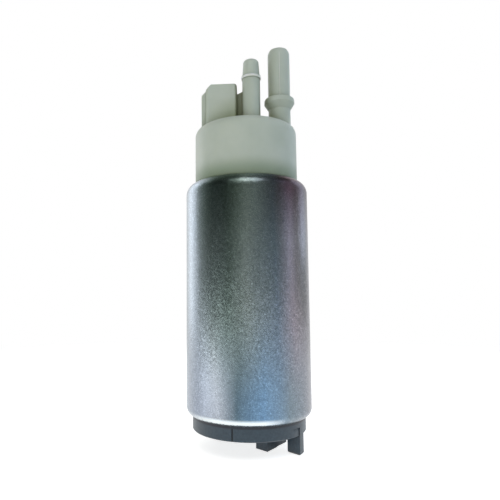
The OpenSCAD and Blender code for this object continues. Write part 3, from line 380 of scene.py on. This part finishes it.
# Painted shade towards the upper roll, darkest and mauve at the right.
upper_shade_from, upper_shade_to = 18 * mm, upper_roll - 2 * mm
painted_upper_shade = ramp(
    tree,
    around,
    (0.10, "#FFFFFF"),
    (0.17, "#E8F0EE"),
    (0.22, "#C4CAC2"),
    (0.27, "#E4E6E2"),
    (0.36, "#A48A8C"),
    (0.46, "#B4ACAE"),
    (0.60, "#D8DAD8"),
)
upper_end = {"Value": z, "From Min": upper_shade_from, "From Max": upper_shade_to}
upper_end = add(tree, "ShaderNodeMapRange", upper_end).outputs[0]
film_tint_and_painted_light = {0: upper_end, 6: film_tint_and_painted_light, 7: painted_upper_shade}
film_tint_and_painted_light = add(tree, "ShaderNodeMix", film_tint_and_painted_light, data_type="RGBA", blend_type="MULTIPLY")
film_tint_and_painted_light = film_tint_and_painted_light.outputs[2]
# The zinc's crystals are finer than the picture shows, so they are drawn as
# coarse as they need to be seen, with finer ones among them.
crystal, fine_crystal = 0.42 * mm, 0.2 * mm
dull, bright = 0.77, 1.14
cells = {"Vector": coords, "Scale": 1 / crystal}
cells = add(tree, "ShaderNodeTexVoronoi", cells).outputs["Color"]
fine_cells = {"Vector": coords, "Scale": 1 / fine_crystal}
fine_cells = add(tree, "ShaderNodeTexVoronoi", fine_cells).outputs["Color"]
crystals = {0: 0.5, 6: cells, 7: fine_cells}
crystals = add(tree, "ShaderNodeMix", crystals, data_type="RGBA").outputs[2]
speck = add(tree, "ShaderNodeSeparateColor", {"Color": crystals}).outputs["Red"]
speck = {
    "Value": speck,
    "From Min": 0.1,
    "From Max": 0.9,
    "To Min": dull,
    "To Max": bright,
}
speck = add(tree, "ShaderNodeMapRange", speck).outputs[0]
# Painted glints: one fine crystal in twelve is brightened in full, and as many in part.
glint_from, glint_full, glint_gain = 0.84, 0.92, 1.45
glint = add(tree, "ShaderNodeSeparateColor", {"Color": fine_cells}).outputs["Green"]
glint = {
    "Value": glint,
    "From Min": glint_from,
    "From Max": glint_full,
    "To Min": 1.0,
    "To Max": glint_gain,
}
glint = add(tree, "ShaderNodeMapRange", glint).outputs[0]
speck = {0: speck, 1: glint}
speck = add(tree, "ShaderNodeMath", speck, operation="MULTIPLY").outputs[0]
tinted = {0: film_tint_and_painted_light, 3: speck}
tinted = add(tree, "ShaderNodeVectorMath", tinted, operation="SCALE").outputs[0]
# The tool that rolled the lower edge in burnished it smoother, and a painted highlight
# makes it pale, brightest in front.
burnish_height = 1.2 * mm
rub_and_highlight_round = ramp(
    tree,
    around,
    (0.08, "#777777"),
    (0.16, "#FFFFFF"),
    (0.29, "#FFFFFF"),
    (0.34, "#4A4A4A"),
    (0.46, "#303030"),
    (0.62, "#AAAAAA"),
)
burnish_and_painted_highlight = {"Value": z, "From Min": lower_roll, "From Max": lower_roll - burnish_height}
burnish_and_painted_highlight = add(tree, "ShaderNodeMapRange", burnish_and_painted_highlight, interpolation_type="SMOOTHSTEP")
burnish_and_painted_highlight = {0: burnish_and_painted_highlight.outputs[0], 1: rub_and_highlight_round}
burnish_and_painted_highlight = add(tree, "ShaderNodeMath", burnish_and_painted_highlight, operation="MULTIPLY").outputs[0]
# The pale colour on the lower roll is a painted highlight.
colour = {0: burnish_and_painted_highlight, 6: tinted, 7: linear("#EEF5F7")}
colour = add(tree, "ShaderNodeMix", colour, data_type="RGBA").outputs[2]
tree.links.new(colour, shader.inputs["Base Color"])
smooth = {0: burnish_and_painted_highlight, 2: satin, 3: burnished}
smooth = add(tree, "ShaderNodeMix", smooth, data_type="FLOAT").outputs[0]
tree.links.new(smooth, shader.inputs["Roughness"])
# Every crystal faces its own way a little, which is the sparkle.
crystal_tilt = 0.14
lean = {0: crystals, 1: (0.5, 0.5, 0.5)}
lean = add(tree, "ShaderNodeVectorMath", lean, operation="SUBTRACT").outputs[0]
lean = {0: lean, 3: crystal_tilt}
lean = add(tree, "ShaderNodeVectorMath", lean, operation="SCALE").outputs[0]
leaned = {0: add(tree, "ShaderNodeNewGeometry").outputs["Normal"], 1: lean}
leaned = add(tree, "ShaderNodeVectorMath", leaned, operation="ADD").outputs[0]
leaned = {0: leaned}
leaned = add(tree, "ShaderNodeVectorMath", leaned, operation="NORMALIZE").outputs[0]
tree.links.new(leaned, shader.inputs["Normal"])
dress(zinc, "can")

# ---------------------------------------------------------------------------
# Outlet cap. Injection moulded natural acetal: a satin, faintly translucent
# cream plastic. The mould's parting line runs up the spigot, and its ejector
# pins leave rings on the roof.
# ---------------------------------------------------------------------------

# Acetal lets light a little way in, which softens its edges and warms its
# shadows, and its moulded skin is satin with a very fine grain.
translucent = (1.0, 0.95, 0.75)
acetal, tree, shader, coords = finish("natural_acetal", 0.42)
tone = cloud(tree, coords, 9 * mm, 3.0)
tone = ramp(tree, tone, (0.3, "#C2CBBE"), (0.7, "#CCD3C7"))
# Painted olive shade in the corners, along the can and where the socket and
# the nipple stand on the roof.
corner_reach, corner_dark, corner_unshaded = 7 * mm, 0.4, 0.94
open_air = {"Distance": corner_reach}
open_air = add(tree, "ShaderNodeAmbientOcclusion", open_air, samples=8).outputs["AO"]
shade = {"Value": open_air, "From Min": corner_dark, "From Max": corner_unshaded}
shade = add(tree, "ShaderNodeMapRange", shade).outputs[0]
# Painted shade in the corners, from ambient occlusion.
tone = {0: shade, 6: linear("#7F8468"), 7: tone}
tone = add(tree, "ShaderNodeMix", tone, data_type="RGBA").outputs[2]
# Painted shade on the cap's skirt, darker towards the can.
skirt_unshaded_z, skirt_shaded_z = 47 * mm, 41 * mm
height = add(tree, "ShaderNodeSeparateXYZ", {"Vector": coords}).outputs
painted_skirt_shade = {"Value": height["Z"], "From Min": skirt_unshaded_z, "From Max": skirt_shaded_z}
painted_skirt_shade = add(tree, "ShaderNodeMapRange", painted_skirt_shade, interpolation_type="SMOOTHSTEP")
tone = {0: painted_skirt_shade.outputs[0], 6: tone, 7: linear("#CBD4C7")}
tone = add(tree, "ShaderNodeMix", tone, data_type="RGBA", blend_type="MULTIPLY")
tone = tone.outputs[2]
# Painted olive shade at the foot of the socket and the web, left of the nipple.
foot_low, foot_high, foot_left = 60 * mm, 72 * mm, -16 * mm
foot = {"Value": height["Z"], "From Min": foot_low, "From Max": foot_high}
foot = add(tree, "ShaderNodeMapRange", foot).outputs[0]
foot = ramp(tree, foot, (0.00, "#000000"), (0.03, "#FFFFFF"), (1.00, "#000000"))
beside = {"Value": height["X"], "From Min": foot_left, "From Max": 0.0}
beside = add(tree, "ShaderNodeMapRange", beside).outputs[0]
beside = ramp(
    tree,
    beside,
    (0.12, "#000000"),
    (0.62, "#FFFFFF"),
    (0.90, "#FFFFFF"),
    (0.94, "#000000"),
)
foot = {0: foot, 1: beside}
foot = add(tree, "ShaderNodeMath", foot, operation="MULTIPLY").outputs[0]
tone = {0: foot, 6: tone, 7: linear("#BDC19A")}
tone = add(tree, "ShaderNodeMix", tone, data_type="RGBA", blend_type="MULTIPLY")
tone = tone.outputs[2]
tree.links.new(tone, shader.inputs["Base Color"])
shader.inputs["IOR"].default_value = 1.48
shader.inputs["Specular IOR Level"].default_value = 0.35
shader.inputs["Subsurface Weight"].default_value = 0.3
shader.inputs["Subsurface Radius"].default_value = translucent
shader.inputs["Subsurface Scale"].default_value = 1.2 * mm
dent(tree, shader, cloud(tree, coords, 0.35 * mm), 0.006 * mm)
dress(acetal, "outlet_cover")


def mottle(tree, shader, spots, darker, paler):
    """Base colour that goes from darker to paler as spots goes from 0.3 to 0.7."""
    tone = ramp(tree, spots, (0.3, darker), (0.7, paler))
    tree.links.new(tone, shader.inputs["Base Color"])


def closed_skin(name, grid, material, body):
    """A closed surface through grid[row, column]. Rows run along it, columns run round
    and meet again, and a fan of triangles joins each end row to its middle point."""
    rows, columns = grid.shape[:2]
    row, column = np.meshgrid(
        np.arange(rows - 1) * columns, np.arange(columns), indexing="ij"
    )
    after = (column + 1) % columns
    sides = np.stack(
        [row + column, row + after, row + columns + after, row + columns + column], -1
    ).reshape(-1, 4)
    ring = np.arange(columns)
    beside = (ring + 1) % columns
    last = (rows - 1) * columns
    low_middle = np.full(columns, rows * columns)
    low = np.stack([beside, ring, low_middle], -1)
    high = np.stack([last + ring, last + beside, low_middle + 1], -1)
    points = np.concatenate(
        [grid.reshape(-1, 3), grid[0].mean(0)[None], grid[-1].mean(0)[None]]
    )
    mesh = bpy.data.meshes.new(name)
    mesh.from_pydata(
        points.tolist(), [], sides.tolist() + low.tolist() + high.tolist()
    )
    outward = bmesh.new()
    outward.from_mesh(mesh)
    bmesh.ops.recalc_face_normals(outward, faces=outward.faces)
    outward.to_mesh(mesh)
    outward.free()
    mesh.polygons.foreach_set("use_smooth", np.ones(len(mesh.polygons), bool))
    mesh.materials.append(material)
    made = bpy.data.objects.new(name, mesh)
    bpy.context.collection.objects.link(made)
    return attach(made, body)


def wire_grid(line, radius, beside, around=10):
    """Points of a round wire along a line: p(i, a) = c_i + r (cos a n_i + sin a b_i).
    n_i is square to the line and to the direction beside, and b_i is square to the
    line and to n_i."""
    along = np.gradient(line, axis=0)
    along /= np.linalg.norm(along, axis=1, keepdims=True)
    out = np.cross(along, beside)
    out /= np.linalg.norm(out, axis=1, keepdims=True)
    over = np.cross(out, along)
    a = np.linspace(0, 2 * math.pi, around, endpoint=False)[None, :, None]
    return line[:, None] + radius * (
        np.cos(a) * out[:, None] + np.sin(a) * over[:, None]
    )


# The same acetal on the thin raised lines of flash, which let a little more light
# through, and painted paler than the body as a highlight.
painted_highlight_acetal, tree, shader, coords = finish("acetal_painted_highlight", 0.35)
mottle(tree, shader, cloud(tree, coords, 2 * mm), "#F0F2EA", "#FAFBF5")
shader.inputs["Subsurface Weight"].default_value = 0.5
shader.inputs["Subsurface Radius"].default_value = translucent
shader.inputs["Subsurface Scale"].default_value = 0.5 * mm

# The mould's two halves met in front of the spigot and behind it. Their seam
# bends inwards where the straight spigot passes into its tapered end.
spigot_x, spigot_y = 12.45 * mm, -1.0 * mm
spigot_r, spigot_tip_r = 3.945 * mm, 3.3 * mm
spigot_low, spigot_straight, spigot_end = 71.6 * mm, 87.5 * mm, 89.4 * mm
seam_r, seam_bend, bend_depth = 0.07 * mm, 0.3 * mm, 0.1 * mm
straight_y = spigot_y - spigot_r
seam = np.array(
    [
        [spigot_x, straight_y, spigot_low],
        [spigot_x, straight_y, 0.5 * (spigot_low + spigot_straight)],
        [spigot_x, straight_y, spigot_straight - seam_bend],
        [spigot_x, straight_y + bend_depth, spigot_straight + seam_bend],
        [spigot_x, spigot_y - spigot_tip_r, spigot_end],
    ]
)
seam_behind = seam * (1, -1, 1) + (0, 2 * spigot_y, 0)
across_seam = (1.0, 0.0, 0.0)
# The seams are drawn in the pale acetal, a painted highlight.
for side, line in (("front", seam), ("back", seam_behind)):
    skin = wire_grid(line, seam_r, across_seam, 8)
    closed_skin(f"spigot_mould_line_{side}", skin, painted_highlight_acetal, "housing")


def hoop(x, y, z, radius, steps=72):
    """A level circle: p(a) = (x + R cos a, y + R sin a, z), with its first point
    repeated at the end."""
    a = np.linspace(0, 2 * math.pi, steps + 1)
    circle = [x + radius * np.cos(a), y + radius * np.sin(a), np.full_like(a, z)]
    return np.stack(circle, 1)


# The lower edge of the nipple's land is a raised line of flash, twice as high
# as it stands out, painted pale all round as a highlight.
straight_up = (0.0, 0.0, 1.0)
nipple_x, nipple_y = 2.3 * mm, -4.0 * mm
land_r, land_line, land_line_r = 3.3 * mm, 78.35 * mm, 0.22 * mm
land_line_stretch = 2
skin = hoop(nipple_x, nipple_y, land_line, land_r)
skin = wire_grid(skin, land_line_r, straight_up, 12)
skin[..., 2] = land_line + land_line_stretch * (skin[..., 2] - land_line)
closed_skin("nipple_land_edge", skin, painted_highlight_acetal, "housing")

# The pins that push the moulding out of its mould leave a thin raised ring each.
roof_z = 60.4 * mm
pin_r, pin_line_r = 1.4 * mm, 0.06 * mm
pins = {
    "a": (1.5 * mm, 10.5 * mm),
    "b": (-13.0 * mm, -8.6 * mm),
    "c": (3.5 * mm, -12.5 * mm),
}
for label, (pin_x, pin_y) in pins.items():
    skin = wire_grid(hoop(pin_x, pin_y, roof_z, pin_r), pin_line_r, straight_up, 8)
    closed_skin(f"ejector_ring_{label}", skin, acetal, "housing")

# ---------------------------------------------------------------------------
# Plug socket. Two flat blades of tinned brass stand in it, pressed through the
# roof of the cap when it is moulded.
# ---------------------------------------------------------------------------

# Tin plate on rolled and punched strip: a warm white metal with soft streaks
# along the rolling. The relief valve's plug and the brush plates have it too.
tin, tree, shader, coords = finish("tinned_brass", 0.32, 1.0)
streaks = cloud(tree, coords, 0.8 * mm, 3.0, (1.0, 1.0, 0.2))
mottle(tree, shader, streaks, "#C2BEB2", "#D0CDC4")
dent(tree, shader, cloud(tree, coords, 0.25 * mm, 2.0, (1.0, 1.0, 0.1)), 0.002 * mm)
dress(tin, "terminal_positive", "terminal_negative", "relief_retainer", "brush_caps")

# ---------------------------------------------------------------------------
# Check valve. A pressed seat, a moulded poppet with a soft face and a spring of
# stainless wire keep the pressure in the outlet when the pump stops. The spring
# stands on the poppet, and in the pump it shortens as the poppet lifts; here it
# is drawn at rest.
# ---------------------------------------------------------------------------

# Moulded valve resin: a plain brown with a dull, slightly uneven skin.
valve, tree, shader, coords = finish("brown_valve_resin", 0.45)
mottle(tree, shader, cloud(tree, coords, 1.2 * mm), "#5A3B22", "#6B4A2E")
dent(tree, shader, cloud(tree, coords, 0.2 * mm), 0.004 * mm)
dress(valve, "check_poppet")

# Hardened steel, ground: bright and nearly smooth, with the wheel's fine rings
# round the axis. The shaft and the disc that it runs on are ground as well.
ground, tree, shader, coords = finish("ground_steel", 0.2, 1.0)
grinding = cloud(tree, coords, 0.3 * mm, 2.0, (0.15, 0.15, 1.0))
mottle(tree, shader, grinding, "#B4B6B8", "#CDCFD1")
dent(tree, shader, grinding, 0.004 * mm)
dress(ground, "relief_ball", "shaft", "thrust_button", "check_seat")

# Stainless wire, drawn through a die and coiled: grey and bright, with faint
# scratches that break its highlight.
spring_wire, tree, shader, coords = finish("drawn_spring_steel", 0.3, 1.0)
mottle(tree, shader, cloud(tree, coords, 0.5 * mm), "#9C9A94", "#BDBBB6")
dent(tree, shader, cloud(tree, coords, 0.12 * mm), 0.003 * mm)


def upright_node(name):
    """A CAD node's middle in x and y, and its lowest and highest z."""
    low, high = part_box(name)
    return 0.5 * (low.x + high.x), 0.5 * (low.y + high.y), low.z, high.z


def coil(x, y, low, high, mean_r, wire_r, turns, steps=40):
    """Centre line of a compression spring, for t from 0 to turns:
    p(t) = (x + R cos 2 pi t, y + R sin 2 pi t, z(t)). z rises by 2.1 wire radii over
    the first turn and over the last, so that they close, and evenly between them."""
    t = np.linspace(0, turns, turns * steps + 1)
    foot, head = low + wire_r, high - wire_r
    closed = 2.1 * wire_r
    rises = [foot, foot + closed, head - closed, head]
    z = np.interp(t, [0, 1, turns - 1, turns], rises)
    turn = 2 * math.pi * t
    return np.stack([x + mean_r * np.cos(turn), y + mean_r * np.sin(turn), z], 1)


def spring(name, mean_r, wire_r, turns):
    """A spring of real wire in place of the CAD node of its name. It rides on the
    housing."""
    x, y, low, high = upright_node(name)
    line = coil(x, y, low, high, mean_r, wire_r, turns)
    skin = wire_grid(line, wire_r, straight_up)
    made = closed_skin(name + "_wire", skin, spring_wire, "housing")
    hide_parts(name)
    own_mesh(made)


check_coil_r, check_wire_r, check_turns = 1.7 * mm, 0.3 * mm, 6
spring(
    "check_spring",
    check_coil_r,
    check_wire_r,
    check_turns,
)

# ---------------------------------------------------------------------------
# Relief valve. A ground steel ball on a moulded seat, held by a stiffer spring
# under a pressed plug with a vent hole, lets fuel back when the line is blocked.
# ---------------------------------------------------------------------------

relief_coil_r, relief_wire_r, relief_turns = 1.3 * mm, 0.3 * mm, 6
spring(
    "relief_spring",
    relief_coil_r,
    relief_wire_r,
    relief_turns,
)

# ---------------------------------------------------------------------------
# Cap seal. An O-ring of fluoroelastomer, moulded in one piece and pressed
# between the cap's flange and the can.
# ---------------------------------------------------------------------------

# Rubber cured in a steel mould: black and dull, with the sheen of assembly oil.
rubber, tree, shader, coords = finish("seal_rubber", 0.55)
mottle(tree, shader, cloud(tree, coords, 1.5 * mm), "#191A1B", "#232526")
dent(tree, shader, cloud(tree, coords, 0.15 * mm), 0.004 * mm)
dress(rubber, "cover_seal")

# ---------------------------------------------------------------------------
# Brush holder. A glass filled resin plate with two brush tubes. The carbon
# brushes slide in them, pressed on the commutator by springs, and a stranded
# copper lead runs up inside each spring to the brass plate that closes its tube.
# ---------------------------------------------------------------------------

# Resin full of short glass fibres: a pale stone colour, and a dull skin with the
# streaks of the fibres as the melt carried them.
glass_resin, tree, shader, coords = finish("glass_filled_resin", 0.5)
fibres = cloud(tree, coords, 0.5 * mm, 4.0, (1.0, 0.25, 1.0))
mottle(tree, shader, fibres, "#B8B2A0", "#CFCABB")
dent(tree, shader, fibres, 0.01 * mm)
dress(glass_resin, "brush_holder")

# Carbon and copper dust, pressed and fired: dark grey and grainy, with a faint
# metal gleam.
carbon, tree, shader, coords = finish("brush_carbon", 0.48, 0.35)
mottle(tree, shader, cloud(tree, coords, 0.3 * mm, 4.0), "#232427", "#3B3D41")
dent(tree, shader, cloud(tree, coords, 0.15 * mm, 4.0), 0.012 * mm)
dress(carbon, "brush_left", "brush_right")

# Copper wire under a clear baked enamel: orange metal with a second, sharper
# shine on top of it. The stiff wires of the chokes are made of it.
copper, tree, shader, coords = finish("enamelled_copper", 0.28, 1.0)
mottle(tree, shader, cloud(tree, coords, 1.2 * mm), "#B5653A", "#D08B5B")
shader.inputs["Coat Weight"].default_value = 0.5
dress(copper, "choke_coils")

# Bare soft copper: pinker than the enamelled wire, and a little tarnished.
bare_copper, tree, shader, coords = finish("bare_copper_strand", 0.35, 1.0)
mottle(tree, shader, cloud(tree, coords, 0.4 * mm), "#B87350", "#DB9C78")
dent(tree, shader, cloud(tree, coords, 0.1 * mm), 0.004 * mm)

brush_coil_r, brush_wire_r, brush_coil_turns = 1.7 * mm, 0.25 * mm, 8
strand_count, strand_turns = 5, 3
strand_r, twist_r = 0.15 * mm, 0.24 * mm
across_lead = (1.0, 0.0, 0.0)
t = np.linspace(0, 1, 121)
for side in ("left", "right"):
    spring(
        f"brush_spring_{side}",
        brush_coil_r,
        brush_wire_r,
        brush_coil_turns,
    )
    # Five strands twist round the lead's axis: p(t) = (x + R cos a, y + R sin a,
    # z(t)), where a is three turns times t plus each strand's own fifth of a turn.
    lead = f"brush_lead_{side}"
    lead_x, lead_y, low, high = upright_node(lead)
    for strand in range(strand_count):
        a = 2 * math.pi * (strand_turns * t + strand / strand_count)
        twist = [lead_x + twist_r * np.cos(a), lead_y + twist_r * np.sin(a)]
        line = np.stack([*twist, low + (high - low) * t], 1)
        made = closed_skin(
            f"{lead}_strand_{strand + 1}",
            wire_grid(line, strand_r, across_lead, 8),
            bare_copper,
            "housing",
        )
        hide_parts(lead)
        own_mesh(made)

# ---------------------------------------------------------------------------
# Chokes. A rod of pressed ferrite with a coil of enamelled copper wire in each
# brush's line keeps the motor's sparks out of the car's radio.
# ---------------------------------------------------------------------------

# Iron oxide, pressed and fired like clay: near black, matt and grainy. The arc
# magnets are the same stuff.
ferrite, tree, shader, coords = finish("pressed_ferrite", 0.6)
mottle(tree, shader, cloud(tree, coords, 0.5 * mm, 4.0), "#2B2C2E", "#3D3E41")
dent(tree, shader, cloud(tree, coords, 0.25 * mm, 4.0), 0.015 * mm)
dress(ferrite, "choke_cores", "magnet_north", "magnet_south")

# ---------------------------------------------------------------------------
# Bearings. Bushes of sintered bronze, pressed from powder, fired and soaked in
# oil, carry the ground shaft at both ends.
# ---------------------------------------------------------------------------

# The pores between the grains stay dark with oil and break up the brown gold.
bronze, tree, shader, coords = finish("sintered_bronze", 0.45, 1.0)
pores = cloud(tree, coords, 0.2 * mm, 4.0)
tone = ramp(tree, pores, (0.35, "#7C5B33"), (0.6, "#B38E58"))
tree.links.new(tone, shader.inputs["Base Color"])
dent(tree, shader, pores, 0.02 * mm)
dress(bronze, "upper_bearing", "lower_bearing")

# ---------------------------------------------------------------------------
# Armature. A stack of punched silicon steel sheets with slots for the winding,
# an end piece of red insulating resin on each face, and the copper coils.
# ---------------------------------------------------------------------------

# The cut edges of the sheets: grey steel ruled with level dark joints. A Wave
# texture of scale 1 repeats every 0.314 m.
wave_band = 0.314
sheet = 0.5 * mm
core, tree, shader, coords = finish("punched_core_steel", 0.42, 1.0)
layers = {"Vector": coords, "Scale": wave_band / sheet}
layers = add(tree, "ShaderNodeTexWave", layers, bands_direction="Z").outputs["Fac"]
tone = ramp(tree, layers, (0.1, "#55575B"), (0.5, "#8B8D90"))
tree.links.new(tone, shader.inputs["Base Color"])
dent(tree, shader, layers, 0.03 * mm)
dress(core, "armature_core")

# Enamelled wires side by side, with a painted highlight on their backs and
# painted shade in between. They lie level round the ends and upright in the
# slots, as high as the core is.
wire = 0.55 * mm
wires_round = 170
_, _, core_low, core_high = upright_node("armature_core")
wound, tree, shader, coords = finish("wound_copper_wire", 0.3, 1.0)
ends = {
    "Vector": coords,
    "Scale": wave_band / wire,
    "Distortion": 1.2,
    "Detail Scale": 0.4,
}
ends = add(tree, "ShaderNodeTexWave", ends, bands_direction="Z").outputs["Fac"]
slots = add(tree, "ShaderNodeTexGradient", {"Vector": coords}, gradient_type="RADIAL")
slots = {0: slots.outputs["Fac"], 1: 2 * wires_round}
slots = add(tree, "ShaderNodeMath", slots, operation="MULTIPLY").outputs[0]
slots = {0: slots, 1: 1.0}
slots = add(tree, "ShaderNodeMath", slots, operation="PINGPONG").outputs[0]
z = add(tree, "ShaderNodeSeparateXYZ", {"Vector": coords}).outputs["Z"]
in_slot = {0: z, 1: 0.5 * (core_low + core_high), 2: 0.5 * (core_high - core_low)}
in_slot = add(tree, "ShaderNodeMath", in_slot, operation="COMPARE").outputs[0]
backs = {0: in_slot, 2: ends, 3: slots}
backs = add(tree, "ShaderNodeMix", backs, data_type="FLOAT").outputs[0]
# Painted shade between the wires and a painted highlight on their backs.
tone = ramp(tree, backs, (0.05, "#5E2F1B"), (0.35, "#B5653A"), (0.8, "#D08B5B"))
tree.links.new(tone, shader.inputs["Base Color"])
shader.inputs["Coat Weight"].default_value = 0.5
dent(tree, shader, backs, 0.12 * mm)
dress(wound, "windings")

# The outermost end turns lie on the coils' ends, row by row, clear of the end
# pieces.
end_r, end_wire_r, end_rows = 12.3 * mm, 0.5 * wire, 6
end_gap, end_height = 0.05 * mm, 3.9 * mm
_, _, _, upper_face = upright_node("insulator_upper")
_, _, lower_face, _ = upright_node("insulator_lower")
for side, low in (
    ("upper", upper_face + end_gap),
    ("lower", lower_face - end_gap - end_height),
):
    line = coil(0.0, 0.0, low, low + end_height, end_r, end_wire_r, end_rows, 72)
    skin = wire_grid(line, end_wire_r, straight_up, 8)
    closed_skin(f"end_turns_{side}", skin, copper, "rotor")

# Insulating resin, powder coated and baked on: an even brick red with a slight
# orange peel.
insulator, tree, shader, coords = finish("insulating_resin", 0.5)
mottle(tree, shader, cloud(tree, coords, 2 * mm), "#8B2F24", "#A03D2E")
dent(tree, shader, cloud(tree, coords, 0.3 * mm), 0.006 * mm)
dress(insulator, "insulator_lower", "insulator_upper")

# ---------------------------------------------------------------------------
# Commutator. Eight copper bars on the face of a hub of brown phenolic resin,
# turned flat in a lathe, with plastic washers that set the rotor's play.
# ---------------------------------------------------------------------------

# Bare copper where the brushes run: pink orange, with fine wear marks.
bars, tree, shader, coords = finish("turned_commutator_copper", 0.3, 1.0)
wear = cloud(tree, coords, 0.4 * mm, 2.0, (1.0, 1.0, 0.3))
mottle(tree, shader, wear, "#A9623F", "#CF8A62")
dent(tree, shader, cloud(tree, coords, 0.15 * mm), 0.004 * mm)
dress(bars, "commutator_segments")

# Phenolic moulding compound: dark brown and hard, speckled by its wood flour.
phenolic, tree, shader, coords = finish("phenolic_resin", 0.4)
mottle(tree, shader, cloud(tree, coords, 0.6 * mm, 4.0), "#3A241A", "#503427")
dress(phenolic, "commutator_hub")

# Washers punched from nylon sheet: a plain off-white with a waxy skin.
washer, tree, shader, coords = finish("white_washer_resin", 0.45)
mottle(tree, shader, cloud(tree, coords, 1.5 * mm), "#CFCDC4", "#DBD9D1")
dress(washer, "thrust_washers")

# ---------------------------------------------------------------------------
# Field. Two arc magnets of ferrite stand in a rolled steel ring and are wedged
# apart by two bent steel clips.
# ---------------------------------------------------------------------------

# Cold rolled steel strip: grey, with the streaks that the rolls drew along it.
rolled, tree, shader, coords = finish("rolled_steel", 0.38, 1.0)
streaks = cloud(tree, coords, 2 * mm, 3.0, (1.0, 1.0, 0.15))
mottle(tree, shader, streaks, "#8C8E90", "#ABADAF")
dent(tree, shader, cloud(tree, coords, 0.3 * mm, 2.0, (1.0, 1.0, 0.1)), 0.006 * mm)
dress(rolled, "flux_ring", "magnet_clips")

# ---------------------------------------------------------------------------
# Pump. The vaned disc of phenolic resin turns in a chamber between a die cast
# aluminium plate and the inlet cover, spaced by a ring.
# ---------------------------------------------------------------------------

# Die cast aluminium: pale grey, clouded where the melt met, with a rough skin.
aluminium, tree, shader, coords = finish("die_cast_aluminium", 0.4, 1.0)
mottle(tree, shader, cloud(tree, coords, 1.5 * mm, 3.0), "#A5A7A9", "#BFC1C3")
dent(tree, shader, cloud(tree, coords, 0.4 * mm, 3.0), 0.012 * mm)
dress(aluminium, "pump_plate", "spacer_ring")

# Phenolic with graphite, lapped to thickness: nearly black, with a smooth satin.
vane_resin, tree, shader, coords = finish("vane_resin", 0.45)
mottle(tree, shader, cloud(tree, coords, 0.6 * mm, 4.0), "#2C2019", "#3D2D24")
dent(tree, shader, cloud(tree, coords, 0.2 * mm), 0.004 * mm)
dress(vane_resin, "impeller")

# ---------------------------------------------------------------------------
# Inlet cover. Moulded black resin, filled with glass and mineral, held in by the
# can's lower roll. Its index groove, its foot and its tab locate the strainer.
# ---------------------------------------------------------------------------

# The mineral makes the black a slate grey in the light from the table, and the
# skin is satin with a fine grain.
black, tree, shader, coords = finish("black_filled_resin", 0.4)
tone = cloud(tree, coords, 0.7 * mm, 3.0)
tone = ramp(tree, tone, (0.3, "#32424E"), (0.7, "#3D4F5C"))
# Painted shade darkens the rim under the can, and painted shade from ambient
# occlusion darkens the groove and the corners.
rim_unshaded_z, rim_shaded_z = -41.1 * mm, -40.5 * mm
groove_reach, groove_dark, groove_unshaded = 1.5 * mm, 0.35, 0.9
z = add(tree, "ShaderNodeSeparateXYZ", {"Vector": coords}).outputs["Z"]
painted_rim_shade = {"Value": z, "From Min": rim_unshaded_z, "From Max": rim_shaded_z}
painted_rim_shade = add(tree, "ShaderNodeMapRange", painted_rim_shade, interpolation_type="SMOOTHSTEP").outputs[0]
# Painted shade on the rim under the can.
tone = {0: painted_rim_shade, 6: tone, 7: linear("#16202F")}
tone = add(tree, "ShaderNodeMix", tone, data_type="RGBA").outputs[2]
# Painted shade in the groove and the corners, from ambient occlusion.
open_air = {"Distance": groove_reach}
open_air = add(tree, "ShaderNodeAmbientOcclusion", open_air, samples=8).outputs["AO"]
shade = {"Value": open_air, "From Min": groove_dark, "From Max": groove_unshaded}
shade = add(tree, "ShaderNodeMapRange", shade).outputs[0]
tone = {0: shade, 6: linear("#0E1319"), 7: tone}
tone = add(tree, "ShaderNodeMix", tone, data_type="RGBA").outputs[2]
tree.links.new(tone, shader.inputs["Base Color"])
shader.inputs["IOR"].default_value = 1.55
dent(tree, shader, cloud(tree, coords, 0.3 * mm), 0.008 * mm)
dress(black, "inlet_cover")

# The tab grows out of the cover's side through a fillet that fills the corner
# beside it, a little below the cover's face. Seen from above it lies between an
# arc of radius root_outer and a straight side at root_inner. Its four levels are
# that outline, drawn in by root_edge at the top and the bottom.
tab_turn = math.radians(-45)
root_from, root_to, root_steps = 0.5 * mm, 4.3 * mm, 13
root_inner, root_outer = 15.9 * mm, 19.15 * mm
root_low, root_high, root_edge = -44.85 * mm, -42.0 * mm, 0.25 * mm
across = np.linspace(root_from, root_to, root_steps)
outer = np.stack([np.sqrt(root_outer**2 - across**2), across], 1)
inner = np.stack([np.full(root_steps, root_inner), across[::-1]], 1)
outline = np.concatenate([outer, inner])
middle = outline.mean(0)
levels = np.array([root_low, root_low + root_edge, root_high - root_edge, root_high])
spread = 1 - np.array([root_edge, 0, 0, root_edge]) / (root_outer - root_inner)
flat = middle + (outline - middle)[None] * spread[:, None, None]
c, s = math.cos(tab_turn), math.sin(tab_turn)
flat = flat @ np.array([[c, -s], [s, c]]).T
heights = np.broadcast_to(levels[:, None, None], (len(levels), len(outline), 1))
closed_skin("tab_root", np.concatenate([flat, heights], 2), black, "housing")
